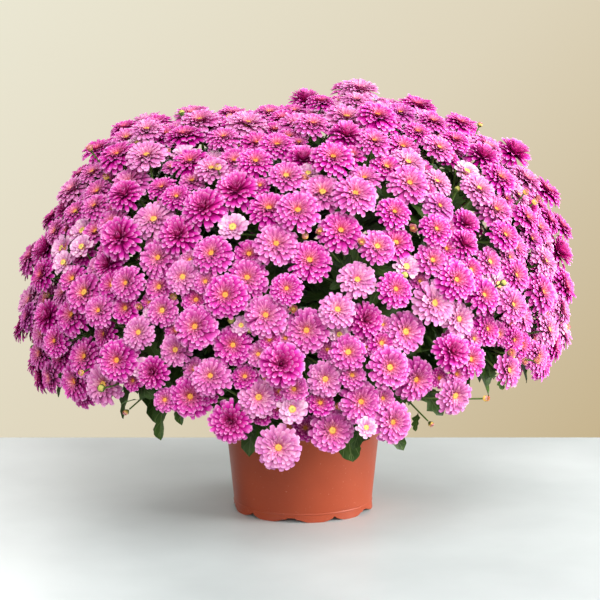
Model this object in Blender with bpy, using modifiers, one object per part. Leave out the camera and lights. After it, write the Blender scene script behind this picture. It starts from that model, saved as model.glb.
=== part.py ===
"""Pot chrysanthemum in its nursery pot, at real size in metres, +Z up.

A dome of many-petalled pink blooms stands on forked stalks, one object for each spray. Seven leafy stems
carry the sprays, and stand in holes in the soil of a tapered plastic pot with a scalloped foot. The
origin is under the middle of the dome, on the surface that the pot stands on.
"""

import itertools
import math

import bmesh
import bpy
import numpy as np
from mathutils import Matrix, Vector
from mathutils.bvhtree import BVHTree

# Pot
POT_HEIGHT = 0.120
POT_RIM_RADIUS = 0.0935
POT_FOOT_RADIUS = 0.0812
POT_WALL = 0.0024
POT_AXIS = Vector((0.010, 0.0, 0.0))
POT_SIDES = 24
RIM_BAND = 0.006
RIM_STEP = 0.0016
SKIRT_HEIGHT = 0.0085
SKIRT_FLARE = 0.0018
SKIRT_RIDGE = 0.0003
FLOOR_THICK = 0.0030
LOBE_PAIRS = 5
FIRST_ARCH = math.radians(-99.6)
ARCH_WIDTH = 0.019
ARCH_RISE = 0.0053
ARCH_SIDES = 6
NOTCH_WIDTH = 0.007
NOTCH_RISE = 0.0072
NOTCH_SIDES = 4
FOOT_CUT = 0.020
DRAIN_RADIUS = 0.006
DRAIN_RING = 0.060
DRAIN_SIDES = 6

# Soil
SOIL_TOP = 0.109
SOIL_CROWN = 0.004
SOIL_SHOULDER = 0.045
SHOULDER_RISE = 0.0028
SOIL_SIDES = POT_SIDES // 2
SEAT_GAP = 0.0003
HOLE_SIDES = 6
HOLE_REACH = 0.1
STEM_FOOT = 0.060

# Dome of blooms
DOME_RADIUS = 0.3255
DOME_MIDDLE = 0.235
DOME_RISE = 0.256
DOME_DROP = 0.227
DOME_LOWEST = math.radians(22)
DOME_SQUARENESS = 2.6
SWELL_WIDE = 0.016
SWELL_NARROW = 0.012
SHOULDER_PULL = 0.075
SHOULDER_LIFT = 0.60
SHOULDER_DEPTH = 0.24
SHOULDER_WIDTH = 0.9
CREST_AT = 0.088
CREST_WIDTH = 0.045
CREST_RISE = 0.014
DIP_AT = -0.075
DIP_WIDTH = 0.075
DIP_FALL = 0.018
FRONT = math.radians(-85)
FRONT_WIDTH = 0.5
FRONT_SINK = 0.024
EDGE_WAVE = 0.005
EDGE_DEPTH = 0.085
HEM_HEIGHT = 0.110
FLANK_TURN = math.radians(38)
FLANK_WIDTH = math.radians(20)
FLANK_LIFT = 0.078
SIDE_TURN = math.radians(-10)
SIDE_WIDTH = math.radians(28)
SIDE_LIFT = 0.070

# Blooms
PLACES = 454
SPRAYS = 50
GOLDEN_ANGLE = math.pi * (3 - math.sqrt(5))
BLOOM_RADIUS = 0.0250
YOUNG_RADIUS = 0.0185
YOUNG_SHARE = 0.22
PETALS = 5
BLOOM_TOP = 0.40
UPPER_REACH = 0.74
UPPER_RISE = 0.14
LOWER_RISE = -0.08
PLACE_JITTER = 0.0030
TILT_JITTER = 0.09
FACING_RISE = 0.35
LOW_FACING_START = 0.20
LOW_FACING_DEPTH = 0.10
LAYERS = 3
LAYER_STEP = 0.0075
LAYER_REACH = 0.052
SEED = 20

# Room between blooms
BLOOM_GAP = 0.0003
STALK_ROOM = 0.0024
STALK_TESTED = 0.7
BLOOM_REACH = 0.030
BLOOM_BULGE = 0.10
RIM_HINT = (0.3, 0.5, -0.8)
RIM_SAMPLES = 12
STALK_SAMPLES = 24
FIT_ROUNDS = 30
FIT_STEP = 0.975

# Sprays
HEART = Vector((0.0, 0.0, 0.155))
FORK_SHARE = 0.72
CALYX_RADIUS = 0.0017
CALYX_DEPTH = 0.30
STALK_RADIUS = 0.0013
FOOT_RADIUS = 0.0019
FIRST_JOINT = 0.006
JOINT_STEP = 0.0080
SPRAY_TRIES = 12

# Stems
STEM_RADIUS = 0.0042
STEM_TAPER = 0.03
STEM_RING = 0.036
STEM_CLEARANCE = 0.0010
STEM_BARE = 0.030
STEM_STEPS = 3
MIDDLE_STEM_REACH = 0.62
OUTER_STEM_REACH = 0.40
CROWN_RADIUS = 0.085
OUTER_STEMS = 6
BRANCH_RADIUS = 0.0021
BRANCH_STEPS = 2
BRANCH_SEAT = 0.006
FIRST_BRANCH = 0.50
BRANCH_REACH = 0.45
LOW_FORK = 0.19

# Leaves
LEAF_LENGTH = 0.074
LEAF_WIDTH = 0.042
LEAF_THICK = 0.0009
LEAF_SINK = 0.0012
LEAF_FOLD = 0.30
LEAF_DROOP = 0.22
UPPER_LEAF = {"seat": 0.65, "droop": 0.15, "size": 0.95, "turn": 1.1}
HANGING_LEAF = {"seat": 0.30, "droop": 0.75, "size": 1.05, "turn": 0.35}
LEAF_MARGIN = 0.0035
LEAVES_APART = 0.0077
LEAF_TRIES = 9
TRY_SWING = 0.7
TRY_ROLL = 0.25
BLOOM_DEPTH = 0.45


def clear_scene():
    for item in list(bpy.data.objects):
        bpy.data.objects.remove(item, do_unlink=True)


def new_collection(name, hidden=False):
    made = bpy.data.collections.new(name)
    made.hide_render = hidden
    bpy.context.scene.collection.children.link(made)
    return made


def plain_material(name, colour, roughness):
    made = bpy.data.materials.new(name)
    made.use_nodes = True
    shader = made.node_tree.nodes["Principled BSDF"]
    shader.inputs["Base Color"].default_value = (*colour, 1.0)
    shader.inputs["Roughness"].default_value = roughness
    shader.inputs["Metallic"].default_value = 0.0
    made.diffuse_color = (*colour, 1.0)
    return made


def object_from(bm, name, collection, materials):
    mesh = bpy.data.meshes.new(name)
    bmesh.ops.recalc_face_normals(bm, faces=bm.faces)
    bm.to_mesh(mesh)
    bm.free()
    for material in materials:
        mesh.materials.append(material)
    made = bpy.data.objects.new(name, mesh)
    collection.objects.link(made)
    return made


def baked(item):
    """The object with its modifiers applied."""
    graph = bpy.context.evaluated_depsgraph_get()
    mesh = bpy.data.meshes.new_from_object(item.evaluated_get(graph))
    old = item.data
    item.modifiers.clear()
    item.data = mesh
    if isinstance(old, bpy.types.Mesh):
        bpy.data.meshes.remove(old)
    return item


def fused(body, others, operation="UNION"):
    """Joins every object of a collection to the body, or cuts them from it, and removes them."""
    change = body.modifiers.new("Fuse", "BOOLEAN")
    change.operation = operation
    change.operand_type = "COLLECTION"
    change.collection = others
    change.solver = "MANIFOLD"
    baked(body)
    for item in list(others.objects):
        bpy.data.objects.remove(item, do_unlink=True)
    return body


def turned(name, profile, sides, collection, material):
    """A profile (radius, height) turned about Z. It starts at the axis inside and runs down the outside."""
    mesh = bpy.data.meshes.new(name)
    points = [(radius, 0.0, height) for radius, height in profile]
    mesh.from_pydata(points, [(i, i + 1) for i in range(len(points) - 1)], [])
    mesh.materials.append(material)
    made = bpy.data.objects.new(name, mesh)
    collection.objects.link(made)
    screw = made.modifiers.new("Turn", "SCREW")
    screw.steps = sides
    screw.render_steps = sides
    screw.use_merge_vertices = True
    screw.merge_threshold = 0.00001
    return baked(made)


# Where the blooms stand

def dome_profile(steps=600):
    """Radius and height of the dome's skin, from its top down to its lowest blooms."""
    up = np.linspace(math.pi / 2, 0, steps, endpoint=False)
    power = 2 / DOME_SQUARENESS
    down = np.linspace(0, DOME_LOWEST, steps)
    radius = np.concatenate([np.cos(up) ** power, np.cos(down)]) * DOME_RADIUS
    height = DOME_MIDDLE + np.concatenate([DOME_RISE * np.sin(up) ** power, -DOME_DROP * np.sin(down)])
    radius[0] = 0.0
    return radius, height


def spread(count):
    """Points and outward normals spread evenly over the dome along a golden-angle spiral."""
    radius, height = dome_profile()
    run, fall = np.diff(radius), np.diff(height)
    band = 2 * math.pi * (radius[1:] + radius[:-1]) / 2 * np.hypot(run, fall)
    share = np.concatenate([[0], np.cumsum(band)]) / band.sum()
    wanted = (np.arange(count) + 0.5) / count
    r, z = np.interp(wanted, share, radius), np.interp(wanted, share, height)
    middles = (share[1:] + share[:-1]) / 2
    out, up = np.interp(wanted, middles, -fall), np.interp(wanted, middles, run)
    turn = np.arange(count) * GOLDEN_ANGLE
    ring = np.stack([np.cos(turn), np.sin(turn)], axis=1)
    points = np.column_stack([ring * r[:, None], z])
    normals = np.column_stack([ring * out[:, None], up])
    return points, normals / np.linalg.norm(normals, axis=1)[:, None]


def hump(values, middle, width):
    """A smooth hump of height one."""
    return np.exp(-(((values - middle) / width) ** 2))


def uneven(points):
    """The dome's own shape: softly lumpy, highest on the right, flatter on the left, lowest in front."""
    turn = np.arctan2(points[:, 1], points[:, 0])
    lift = np.clip((points[:, 2] - DOME_MIDDLE) / DOME_RISE, 0, 1)
    sink = np.clip((DOME_MIDDLE - points[:, 2]) / EDGE_DEPTH, 0, 1)
    moved = points.copy()
    swell = 1 + SWELL_WIDE * np.sin(3 * turn + 0.8) + SWELL_NARROW * np.sin(5 * turn - 1.1 + 4 * lift)
    left_shoulder = hump(np.abs(turn), math.pi, SHOULDER_WIDTH) * hump(lift, SHOULDER_LIFT, SHOULDER_DEPTH)
    swell -= SHOULDER_PULL * left_shoulder
    moved[:, :2] *= swell[:, None]
    crest = CREST_RISE * hump(points[:, 0], CREST_AT, CREST_WIDTH)
    dip = DIP_FALL * hump(points[:, 0], DIP_AT, DIP_WIDTH)
    moved[:, 2] += lift ** 2 * (crest - dip)
    moved[:, 2] -= sink * (FRONT_SINK * hump(turn, FRONT, FRONT_WIDTH) + EDGE_WAVE * np.sin(5 * turn))
    return moved


def above_hem(points):
    """Whether each point lies above the dome's edge, which is higher beside its front and on the right."""
    turn = np.arctan2(points[:, 1], points[:, 0])
    flank = FLANK_LIFT * hump(np.abs(turn - FRONT), FLANK_TURN, FLANK_WIDTH)
    side = SIDE_LIFT * hump(turn, SIDE_TURN, SIDE_WIDTH)
    return points[:, 2] > HEM_HEIGHT + flank + side


def unit(rows):
    return rows / np.linalg.norm(rows, axis=1)[:, None]


def layers_of(points, rng):
    """A depth layer for each bloom, unlike those of the neighbours placed before it."""
    layer = np.zeros(len(points), int)
    for i in range(1, len(points)):
        close = np.linalg.norm(points[:i] - points[i], axis=1) < LAYER_REACH
        taken = np.bincount(layer[:i][close], minlength=LAYERS)
        layer[i] = (taken + 0.5 * rng.random(LAYERS)).argmin()
    return layer


def outer_points(places, facings, radii):
    """Points round the rim and the upper petals of every bloom, and its top."""
    side = unit(np.cross(facings, RIM_HINT))
    turn = np.linspace(0, math.tau, RIM_SAMPLES, endpoint=False)[:, None]
    ring = np.cos(turn) * side[:, None] + np.sin(turn) * np.cross(facings, side)[:, None]
    up = facings[:, None]
    lower, upper = ring + LOWER_RISE * up, UPPER_REACH * ring + UPPER_RISE * up
    shape = np.concatenate([lower, upper, BLOOM_TOP * up], axis=1)
    return places[:, None] + radii[:, None, None] * shape


def stalk_points(places, facings, radii, forks):
    """Points along every bloom's stalk, from its calyx inwards."""
    calyxes = places - facings * CALYX_DEPTH * radii[:, None]
    shares = np.linspace(0, STALK_TESTED, STALK_SAMPLES)[:, None]
    return calyxes[:, None] + shares * (forks - calyxes)[:, None]


def inside_bloom(points, place, facing, radius, margin):
    """Whether any of each row's points lies within a margin of that row's bloom."""
    away = (points - place[:, None]) / radius[:, None, None]
    height = (away * facing[:, None]).sum(axis=2)
    out = np.sqrt(np.maximum((away ** 2).sum(axis=2) - height ** 2, 0))
    share = margin / radius[:, None]
    above = BLOOM_TOP * (1 - out) + BLOOM_BULGE + share
    below = CALYX_DEPTH * (1 - out) + BLOOM_BULGE + share
    return ((out < 1 + share) & (height < above) & (height > -below)).any(axis=1)


def fitted_radii(places, facings, forks, wanted):
    """The wanted radii, with blooms made smaller until they are clear of each other and of all stalks."""
    apart = np.linalg.norm(places[:, None] - places[None], axis=2)
    first, second = np.nonzero((apart < 2 * BLOOM_REACH) & (apart > 0))
    radii = wanted.copy()
    for _ in range(FIT_ROUNDS):
        outer = outer_points(places, facings, radii)[first]
        stalks = stalk_points(places, facings, radii, forks)[first]
        place, facing, radius = places[second], facings[second], radii[second]
        crossed = inside_bloom(outer, place, facing, radius, BLOOM_GAP)
        pierced = inside_bloom(stalks, place, facing, radius, STALK_ROOM)
        tight = np.zeros(len(places), bool)
        tight[first[crossed]] = True
        tight[second[crossed | pierced]] = True
        radii[tight] *= FIT_STEP
    return radii


def place_blooms():
    """Places, facings and youth of all blooms, with the dome centred on the origin."""
    rng = np.random.default_rng(SEED)
    points, normals = spread(PLACES)
    points = uneven(points)
    kept = above_hem(points)
    points, normals = points[kept], normals[kept]
    side = rng.normal(size=points.shape) * PLACE_JITTER
    side -= (side * normals).sum(axis=1)[:, None] * normals
    depth = layers_of(points, rng) * LAYER_STEP
    lean = rng.normal(size=points.shape) * TILT_JITTER
    low = np.clip((LOW_FACING_START - points[:, 2]) / LOW_FACING_DEPTH, 0, 1)[:, None]
    facings = unit(normals + np.array([0, 0, FACING_RISE]) * (1 + low) + lean)
    places = points + side - depth[:, None] * normals - facings * BLOOM_RADIUS * BLOOM_TOP
    places[:, :2] -= (places.min(axis=0) + places.max(axis=0))[:2] / 2
    young = rng.random(len(points)) < YOUNG_SHARE
    return places, facings, young


def size_blooms(places, facings, young, forks):
    """Radii and turns of all blooms."""
    rng = np.random.default_rng(SEED + 1)
    radii = fitted_radii(places, facings, forks, np.where(young, YOUNG_RADIUS, BLOOM_RADIUS))
    return radii, rng.uniform(0, math.tau, len(places))


def assign_sprays(places):
    """The number of each bloom's spray, and each spray's fork."""
    heart = np.array(HEART)
    rays = unit(uneven(spread(SPRAYS)[0]) - heart)
    owner = np.argmax(unit(places - heart) @ rays.T, axis=1)
    forks = [heart + FORK_SHARE * (places[owner == k].mean(axis=0) - heart) for k in range(SPRAYS)]
    return owner, np.array(forks)


def stem_of_forks(forks):
    """The number of the leafy stem that carries each fork: 0 is the middle one."""
    turn = np.arctan2(forks[:, 1], forks[:, 0]) + math.pi / OUTER_STEMS
    sector = np.floor((turn % math.tau) / (math.tau / OUTER_STEMS)).astype(int)
    central = (np.hypot(forks[:, 0], forks[:, 1]) < CROWN_RADIUS) & (forks[:, 2] > DOME_MIDDLE)
    return np.where(central, 0, sector + 1)


# Sprays

def frame_along(axis, spin=0.0):
    """A turn that carries +Z to the axis, spun about it."""
    return axis.to_track_quat("Z", "Y").to_matrix().to_4x4() @ Matrix.Rotation(spin, 4, "Z")


def ring_of_three(centre, axis, radius, hint):
    """Three points round the axis, the first of them on the side that the hint points to."""
    over = (hint - axis * hint.dot(axis)).normalized()
    across = axis.cross(over)
    turns = (math.tau * k / 3 for k in range(3))
    return [centre + radius * (over * math.cos(t) + across * math.sin(t)) for t in turns]


def turn_about(axis, way, hint):
    """The angle about the axis from the hint to the way."""
    over = (hint - axis * hint.dot(axis)).normalized()
    return math.atan2(way.dot(axis.cross(over)), way.dot(over)) % math.tau


def add_bloom(bm, place, facing, radius, spin, stalk_way, hint):
    """A dome of short upper petals with longer ones between and below them, open below at its calyx.
    Returns the calyx."""
    circle = bmesh.ops.create_circle(bm, cap_ends=True, cap_tris=True, segments=2 * PETALS, radius=1.0)
    top = min(circle["verts"], key=lambda v: v.co.length)
    rim = [v for v in circle["verts"] if v is not top]
    rim.sort(key=lambda v: math.atan2(v.co.y, v.co.x))
    top.co.z = BLOOM_TOP
    for i, v in enumerate(rim):
        reach, rise = (1.0, LOWER_RISE) if i % 2 else (UPPER_REACH, UPPER_RISE)
        v.co = Vector((v.co.x * reach, v.co.y * reach, rise))
    seat = Matrix.Translation(place) @ frame_along(facing, spin) @ Matrix.Scale(radius, 4)
    bmesh.ops.transform(bm, matrix=seat, verts=circle["verts"])
    targets = ring_of_three(
        place - facing * CALYX_DEPTH * radius, (facing + stalk_way).normalized(), CALYX_RADIUS, hint
    )
    edges = list({e for v in rim for e in v.link_edges if e.is_boundary})
    made = bmesh.ops.extrude_edge_only(bm, edges=edges)
    ring = [v for v in made["geom"] if isinstance(v, bmesh.types.BMVert)]
    middle = sum(targets, Vector()) / 3
    for v in ring:
        way = v.co - place
        v.co = max(targets, key=lambda t: way.dot(t - middle)).copy()
    bmesh.ops.remove_doubles(bm, verts=ring, dist=0.0001)
    return [v for v in ring if v.is_valid]


def in_turn(spots, place_of, axis):
    """The spots in their order round an axis through their middle."""
    middle = sum((place_of(spot) for spot in spots), Vector()) / len(spots)
    hint = axis.orthogonal()
    return sorted(spots, key=lambda spot: turn_about(axis, place_of(spot) - middle, hint)), middle


def settle(verts, facing, points, way):
    """Moves a ring of vertices onto as many points, the same way round and turned least."""
    ring, start = in_turn(verts, lambda v: v.co, facing)
    spots, goal = in_turn(points, lambda p: p, way)
    orders = [spots[k:] + spots[:k] for k in range(len(spots))]
    best = min(orders, key=lambda order: sum((v.co - start - p + goal).length for v, p in zip(ring, order)))
    for v, spot in zip(ring, best):
        v.co = spot


def drawn_out(bm, face, points, way):
    """Extrudes a face until its corners lie on the points."""
    face.normal_update()
    facing = face.normal.copy()
    end = bmesh.ops.extrude_discrete_faces(bm, faces=[face])["faces"][0]
    settle(list(end.verts), facing, points, way)
    return end


def raise_stalk(bm, face, bloom):
    """Draws a face of the leading stalk out to a bloom's calyx, where the two are welded later."""
    hint = face.verts[0].co - face.calc_center_median()
    points = [v.co.copy() for v in add_bloom(bm, *bloom, hint)]
    way = (sum(points, Vector()) / len(points) - face.calc_center_median()).normalized()
    end = drawn_out(bm, face, points, way)
    bmesh.ops.delete(bm, geom=[end], context="FACES_ONLY")


def wall_facing(walls, way):
    """The number of the wall that faces a direction most."""
    return max(range(len(walls)), key=lambda k: walls[k][1].dot(way))


def walls_below(end):
    """The side faces that an extrusion left round its end face, each with its outward normal."""
    found = [f for e in end.edges for f in e.link_faces if f is not end]
    for face in found:
        face.normal_update()
    return [[face, face.normal.copy()] for face in found]


def grow(bm, end, ring_at, limbs):
    """Draws a three-sided trunk on from its end face, ring by ring, as its limbs need it. A limb is a way
    and a function that draws it out of the half wall which it is given. Returns the trunk's last face."""
    walls = []
    for number, (way, draw) in enumerate(limbs):
        side = wall_facing(walls, way) if walls else None
        if side is None or walls[side][0] is None:
            ring, axis = ring_at(number)
            end = drawn_out(bm, end, ring, axis)
            walls = walls_below(end)
            side = wall_facing(walls, way)
        halves = bmesh.ops.triangulate(bm, faces=[walls[side][0]])["faces"]
        walls[side][0] = None
        lean = (way - axis * axis.dot(way)).normalized()
        draw(max(halves, key=lambda f: lean.dot(f.calc_center_median())))
    return end


def first_face(bm, ring, axis):
    foot = bmesh.ops.create_circle(bm, cap_ends=True, segments=3, radius=1.0)["verts"]
    settle(foot, Vector((0, 0, 1)), ring, axis)
    face = foot[0].link_faces[0]
    face.material_index = 1
    return face


def closed_object(bm, name, collection, materials):
    bmesh.ops.remove_doubles(bm, verts=bm.verts, dist=0.000001)
    bmesh.ops.holes_fill(bm, edges=[e for e in bm.edges if e.is_boundary], sides=3)
    bmesh.ops.triangulate(bm, faces=bm.faces)
    return object_from(bm, name, collection, materials)


def crossings(bm):
    """How many pairs of faces that share no corner cut each other."""
    bmesh.ops.remove_doubles(bm, verts=bm.verts, dist=0.000001)
    bm.faces.ensure_lookup_table()
    tree = BVHTree.FromBMesh(bm)
    return sum(set(bm.faces[a].verts).isdisjoint(bm.faces[b].verts) for a, b in tree.overlap(tree))


def spray_mesh(fork, approach, blooms, leader, spin):
    """A leading stalk with a bloom at its end, and the spray's other blooms raised from its sides. The spin
    turns the stalk's walls about it, which changes the walls that the side stalks leave from."""
    ahead = (blooms[leader][0] - fork).normalized()
    hint = Matrix.Rotation(spin, 3, ahead) @ ahead.orthogonal()
    bm = bmesh.new()
    end = first_face(bm, ring_of_three(fork, approach, FOOT_RADIUS, hint), approach)
    order = sorted(set(blooms) - {leader}, key=lambda i: ahead.dot(blooms[i][-1]))
    joints = itertools.count()

    def ring_at(_):
        centre = fork + ahead * (FIRST_JOINT + next(joints) * JOINT_STEP)
        return ring_of_three(centre, ahead, STALK_RADIUS, hint), ahead

    limbs = [(blooms[i][-1], lambda face, i=i: raise_stalk(bm, face, blooms[i])) for i in order]
    end = grow(bm, end, ring_at, limbs)
    raise_stalk(bm, end, blooms[leader])
    return bm


def make_spray(number, members, fork, approach, blooms, collection, materials):
    """The spray whose stalks cross least, out of several that are turned differently."""
    places, facings, radii, turns = blooms
    spots = {int(i): Vector(places[i]) for i in members}
    middle = sum(spots.values(), Vector()) / len(spots)
    leader = min(spots, key=lambda i: (spots[i] - middle).length)
    mine = {i: (p, Vector(facings[i]), radii[i], turns[i], (p - fork).normalized()) for i, p in spots.items()}
    best, fewest = None, math.inf
    for attempt in range(SPRAY_TRIES):
        bm = spray_mesh(fork, approach, mine, leader, attempt * math.tau / 3 / SPRAY_TRIES)
        count = crossings(bm)
        if count < fewest:
            best, bm, fewest = bm, best, count
        if bm:
            bm.free()
        if not fewest:
            break
    return closed_object(best, f"spray_{number:02d}", collection, materials)


# Leafy stems

def bend(start, control, end, steps):
    """Points along a curve that leaves the start towards the control and reaches the end from it."""
    shares = [i / steps for i in range(steps + 1)]
    return [start * (1 - t) ** 2 + control * 2 * t * (1 - t) + end * t * t for t in shares]


def stem_base(number):
    if number == 0:
        return POT_AXIS.copy()
    turn = (number - 1) * math.tau / OUTER_STEMS
    return POT_AXIS + STEM_RING * Vector((math.cos(turn), math.sin(turn), 0))


def stem_path(number, forks):
    """The main stem, from its foot in the soil to where its last branches part."""
    base = stem_base(number)
    mean = sum(forks, Vector()) / len(forks)
    top = HEART + (mean - HEART) * (OUTER_STEM_REACH if number else MIDDLE_STEM_REACH)
    heights = (STEM_FOOT, SOIL_TOP + STEM_BARE, SOIL_TOP + 2 * STEM_BARE)
    foot, rise, control = (Vector((base.x, base.y, height)) for height in heights)
    return [foot] + bend(rise, control, top, STEM_STEPS)


def along(path, share):
    """The point at a share of a path's length."""
    lengths = [(b - a).length for a, b in zip(path, path[1:])]
    left = share * sum(lengths)
    for a, b, length in zip(path, path[1:], lengths):
        if left <= length:
            return a.lerp(b, left / length)
        left -= length
    return path[-1].copy()


def branch_paths(stem, forks):
    """A branch from the main stem to each fork, the lowest first: its points and its last direction."""
    order = sorted(range(len(forks)), key=lambda i: forks[i].z)
    paths = {}
    for rank, i in enumerate(order):
        start = along(stem, FIRST_BRANCH + (1 - FIRST_BRANCH) * rank / max(len(forks) - 1, 1))
        outward = (forks[i] - HEART).normalized()
        control = forks[i] - outward * BRANCH_REACH * (forks[i] - start).length
        path = bend(start, control, forks[i], BRANCH_STEPS)
        approach = (path[-1] - path[-2]).normalized()
        path[-1] = forks[i] - approach * SEAT_GAP
        paths[i] = (path, approach)
    return [paths[i] for i in range(len(forks))]


def leaf_outline():
    """The lobed edge of a leaf, from its foot round to its foot, in shares of its length and width."""
    right = [(0.36, 0.44), (0.48, 0.31), (0.64, 0.50), (0.76, 0.25)]
    return [(0.0, 0.0)] + right + [(1.0, 0.0)] + [(x, -y) for x, y in reversed(right)]


def leaf_shape(size):
    """Points of the edge and the middle of a leaf that droops and folds along its rib."""
    edge = [Vector((x * LEAF_LENGTH, y * LEAF_WIDTH, 0)) for x, y in leaf_outline()]
    points = [Vector((0.5 * LEAF_LENGTH, 0, 0))] + edge
    for p in points:
        share = p.x / LEAF_LENGTH
        p.z = LEAF_FOLD * abs(p.y) - LEAF_LENGTH * LEAF_DROOP * share ** 2
    return [p * size for p in points]


def leaf_matrix(place, outward, spin, droop):
    """The leaf's seat: it grows from the place, outward and drooping, and is turned about its rib."""
    along_leaf = (outward - Vector((0, 0, droop))).normalized()
    across = Vector((0, 0, 1)).cross(along_leaf)
    across = Vector((0, 1, 0)) if across.length < 0.01 else across.normalized()
    upper = along_leaf.cross(across)
    turn = Matrix((along_leaf, across, upper)).transposed().to_4x4()
    return Matrix.Translation(place - along_leaf * LEAF_SINK) @ turn @ Matrix.Rotation(spin, 4, "X")


def make_leaf(matrix, size, collection, material):
    points = leaf_shape(size)
    bm = bmesh.new()
    bmesh.ops.create_circle(bm, cap_ends=True, cap_tris=True, segments=len(points) - 1, radius=1.0)
    middle = next(v for v in bm.verts if v.co.length < 0.5)
    rim = sorted((v for v in bm.verts if v is not middle), key=lambda v: math.atan2(v.co.y, v.co.x))
    middle.co = points[0]
    for v, p in zip(rim, points[1:]):
        v.co = p
    bmesh.ops.transform(bm, matrix=matrix, verts=bm.verts)
    leaf = object_from(bm, "leaf", collection, [material])
    thick = leaf.modifiers.new("Thick", "SOLIDIFY")
    thick.thickness = LEAF_THICK
    thick.offset = 0
    baked(leaf)
    bm = bmesh.new()
    bm.from_mesh(leaf.data)
    bmesh.ops.triangulate(bm, faces=bm.faces)
    bm.to_mesh(leaf.data)
    bm.free()
    return leaf


def distance_to_segments(points, starts, ends):
    """The least distance from any of the points to any of the segments."""
    run = ends - starts
    length = np.maximum((run * run).sum(axis=1), 1e-12)
    away = points[:, None] - starts[None]
    share = np.clip((away * run[None]).sum(axis=2) / length, 0, 1)
    return np.linalg.norm(away - share[..., None] * run[None], axis=2).min()


def leaf_samples(matrix, size):
    """Points over a leaf, close enough together to test what it would cross."""
    points = [matrix @ p for p in leaf_shape(size)]
    middle = points[0]
    found = list(points)
    for a, b in zip(points[1:], points[2:] + points[1:2]):
        found += [middle.lerp(a, 0.5), a.lerp(b, 0.5), middle.lerp(a.lerp(b, 0.5), 0.6)]
    return np.array([tuple(p) for p in found])


def leaf_wishes(paths, low):
    """Where leaves would grow: one near each branch's end, and hanging ones on the low branches."""
    wishes = []
    for i, (path, _) in enumerate(paths):
        outward = (path[-1] - path[0]).normalized()
        turn = Matrix.Rotation(UPPER_LEAF["turn"] + i * GOLDEN_ANGLE, 4, outward)
        side = (outward + turn @ outward.orthogonal().normalized()).normalized()
        if i % 3:
            wishes.append((path[-2].lerp(path[-1], UPPER_LEAF["seat"]), side, UPPER_LEAF))
        if low[i]:
            flat = Vector((path[-1].x, path[-1].y, 0)).normalized()
            swing = Matrix.Rotation((-1) ** i * HANGING_LEAF["turn"], 4, "Z") @ flat
            wishes.append((path[-2].lerp(path[-1], HANGING_LEAF["seat"]), swing, HANGING_LEAF))
    return wishes


def near(a, b):
    return np.linalg.norm(a[:, None] - b[None], axis=2).min()


def clear_of_blooms(samples, blooms):
    """Whether the points keep clear of every bloom's shallow dome."""
    places, facings, radii = blooms[:3]
    away = samples[:, None] - places[None]
    up = (away * facings[None]).sum(axis=2)
    across = np.sqrt(np.maximum((away ** 2).sum(axis=2) - up ** 2, 0))
    inside = (across < radii + LEAF_MARGIN) & (np.abs(up) < BLOOM_DEPTH * radii + LEAF_MARGIN)
    return not inside.any()


def clear_of_pot(samples):
    out = np.hypot(samples[:, 0] - POT_AXIS.x, samples[:, 1] - POT_AXIS.y) - POT_RIM_RADIUS - RIM_STEP
    return np.maximum(samples[:, 2] - POT_HEIGHT, out).min() > LEAF_MARGIN


def segments_of(lines):
    """The starts and ends of all the straight runs of some lines of points."""
    runs = [(tuple(a), tuple(b)) for line in lines for a, b in zip(line, line[1:])]
    both = np.array(runs)
    return both[:, 0], both[:, 1]


def choose_leaves(paths_by_stem, low_by_stem, stalks, blooms):
    """The leaves of every stem, each turned until it is clear of what other objects hold."""
    chosen = {number: [] for number in paths_by_stem}
    taken = []
    for number, paths in paths_by_stem.items():
        foreign = [p for n, rows in paths_by_stem.items() if n != number for p, _ in rows]
        starts, ends = segments_of(stalks + foreign)
        for place, side, kind in leaf_wishes(paths, low_by_stem[number]):
            for attempt in range(LEAF_TRIES):
                way = (-1) ** attempt
                swing = Matrix.Rotation(attempt * TRY_SWING * way, 4, "Z") @ side
                matrix = leaf_matrix(place, swing, TRY_ROLL * way, kind["droop"])
                samples = leaf_samples(matrix, kind["size"])
                others = [s for n, s in taken if n != number]
                if (
                    distance_to_segments(samples, starts, ends) > LEAF_MARGIN
                    and clear_of_blooms(samples, blooms)
                    and clear_of_pot(samples)
                    and all(near(samples, s) > LEAVES_APART for s in others)
                ):
                    chosen[number].append((matrix, kind["size"]))
                    taken.append((number, samples))
                    break
    return chosen


def make_leafy_stem(number, path, paths, leaves, collection, material):
    """A main stem that runs on as its topmost branch, with the others raised from its sides, and its
    leaves joined on."""
    bm = bmesh.new()
    up = Vector((0, 0, 1))
    hint = (path[-1] - path[0]).normalized() + Vector((0.3, 0.1, 0))
    end = first_face(bm, ring_of_three(path[0], up, STEM_RADIUS, hint), up)
    end = drawn_out(bm, end, ring_of_three(path[1], up, STEM_RADIUS, hint), up)
    order = sorted(paths, key=lambda item: item[0][0].z)

    def ring_at(rank):
        centre = order[rank][0][0]
        ahead = (order[rank][0][0] - path[1]).normalized() + (path[-1] - path[-2]).normalized()
        ahead = ahead.normalized() if rank else up
        radius = STEM_RADIUS * (1 - STEM_TAPER * rank)
        return ring_of_three(centre + ahead * BRANCH_SEAT, ahead, radius, hint), ahead

    def branch(face, points):
        steps = [(a - b).normalized() for a, b in zip(points[1:], points)]
        for point, step in zip(points[1:], steps[1:] + steps[-1:]):
            turn = face.verts[0].co - face.calc_center_median()
            face = drawn_out(bm, face, ring_of_three(point, step, BRANCH_RADIUS, turn), step)

    limbs = [
        ((points[1] - points[0]).normalized(), lambda face, points=points: branch(face, points))
        for points, _ in order[:-1]
    ]
    branch(grow(bm, end, ring_at, limbs), order[-1][0])
    stem = closed_object(bm, f"leafy_stem_{number}", collection, [material])
    bits = new_collection("stem_bits")
    for matrix, size in leaves:
        make_leaf(matrix, size, bits, material)
    fused(stem, bits)
    bpy.data.collections.remove(bits)
    return stem


# Pot and soil

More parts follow.
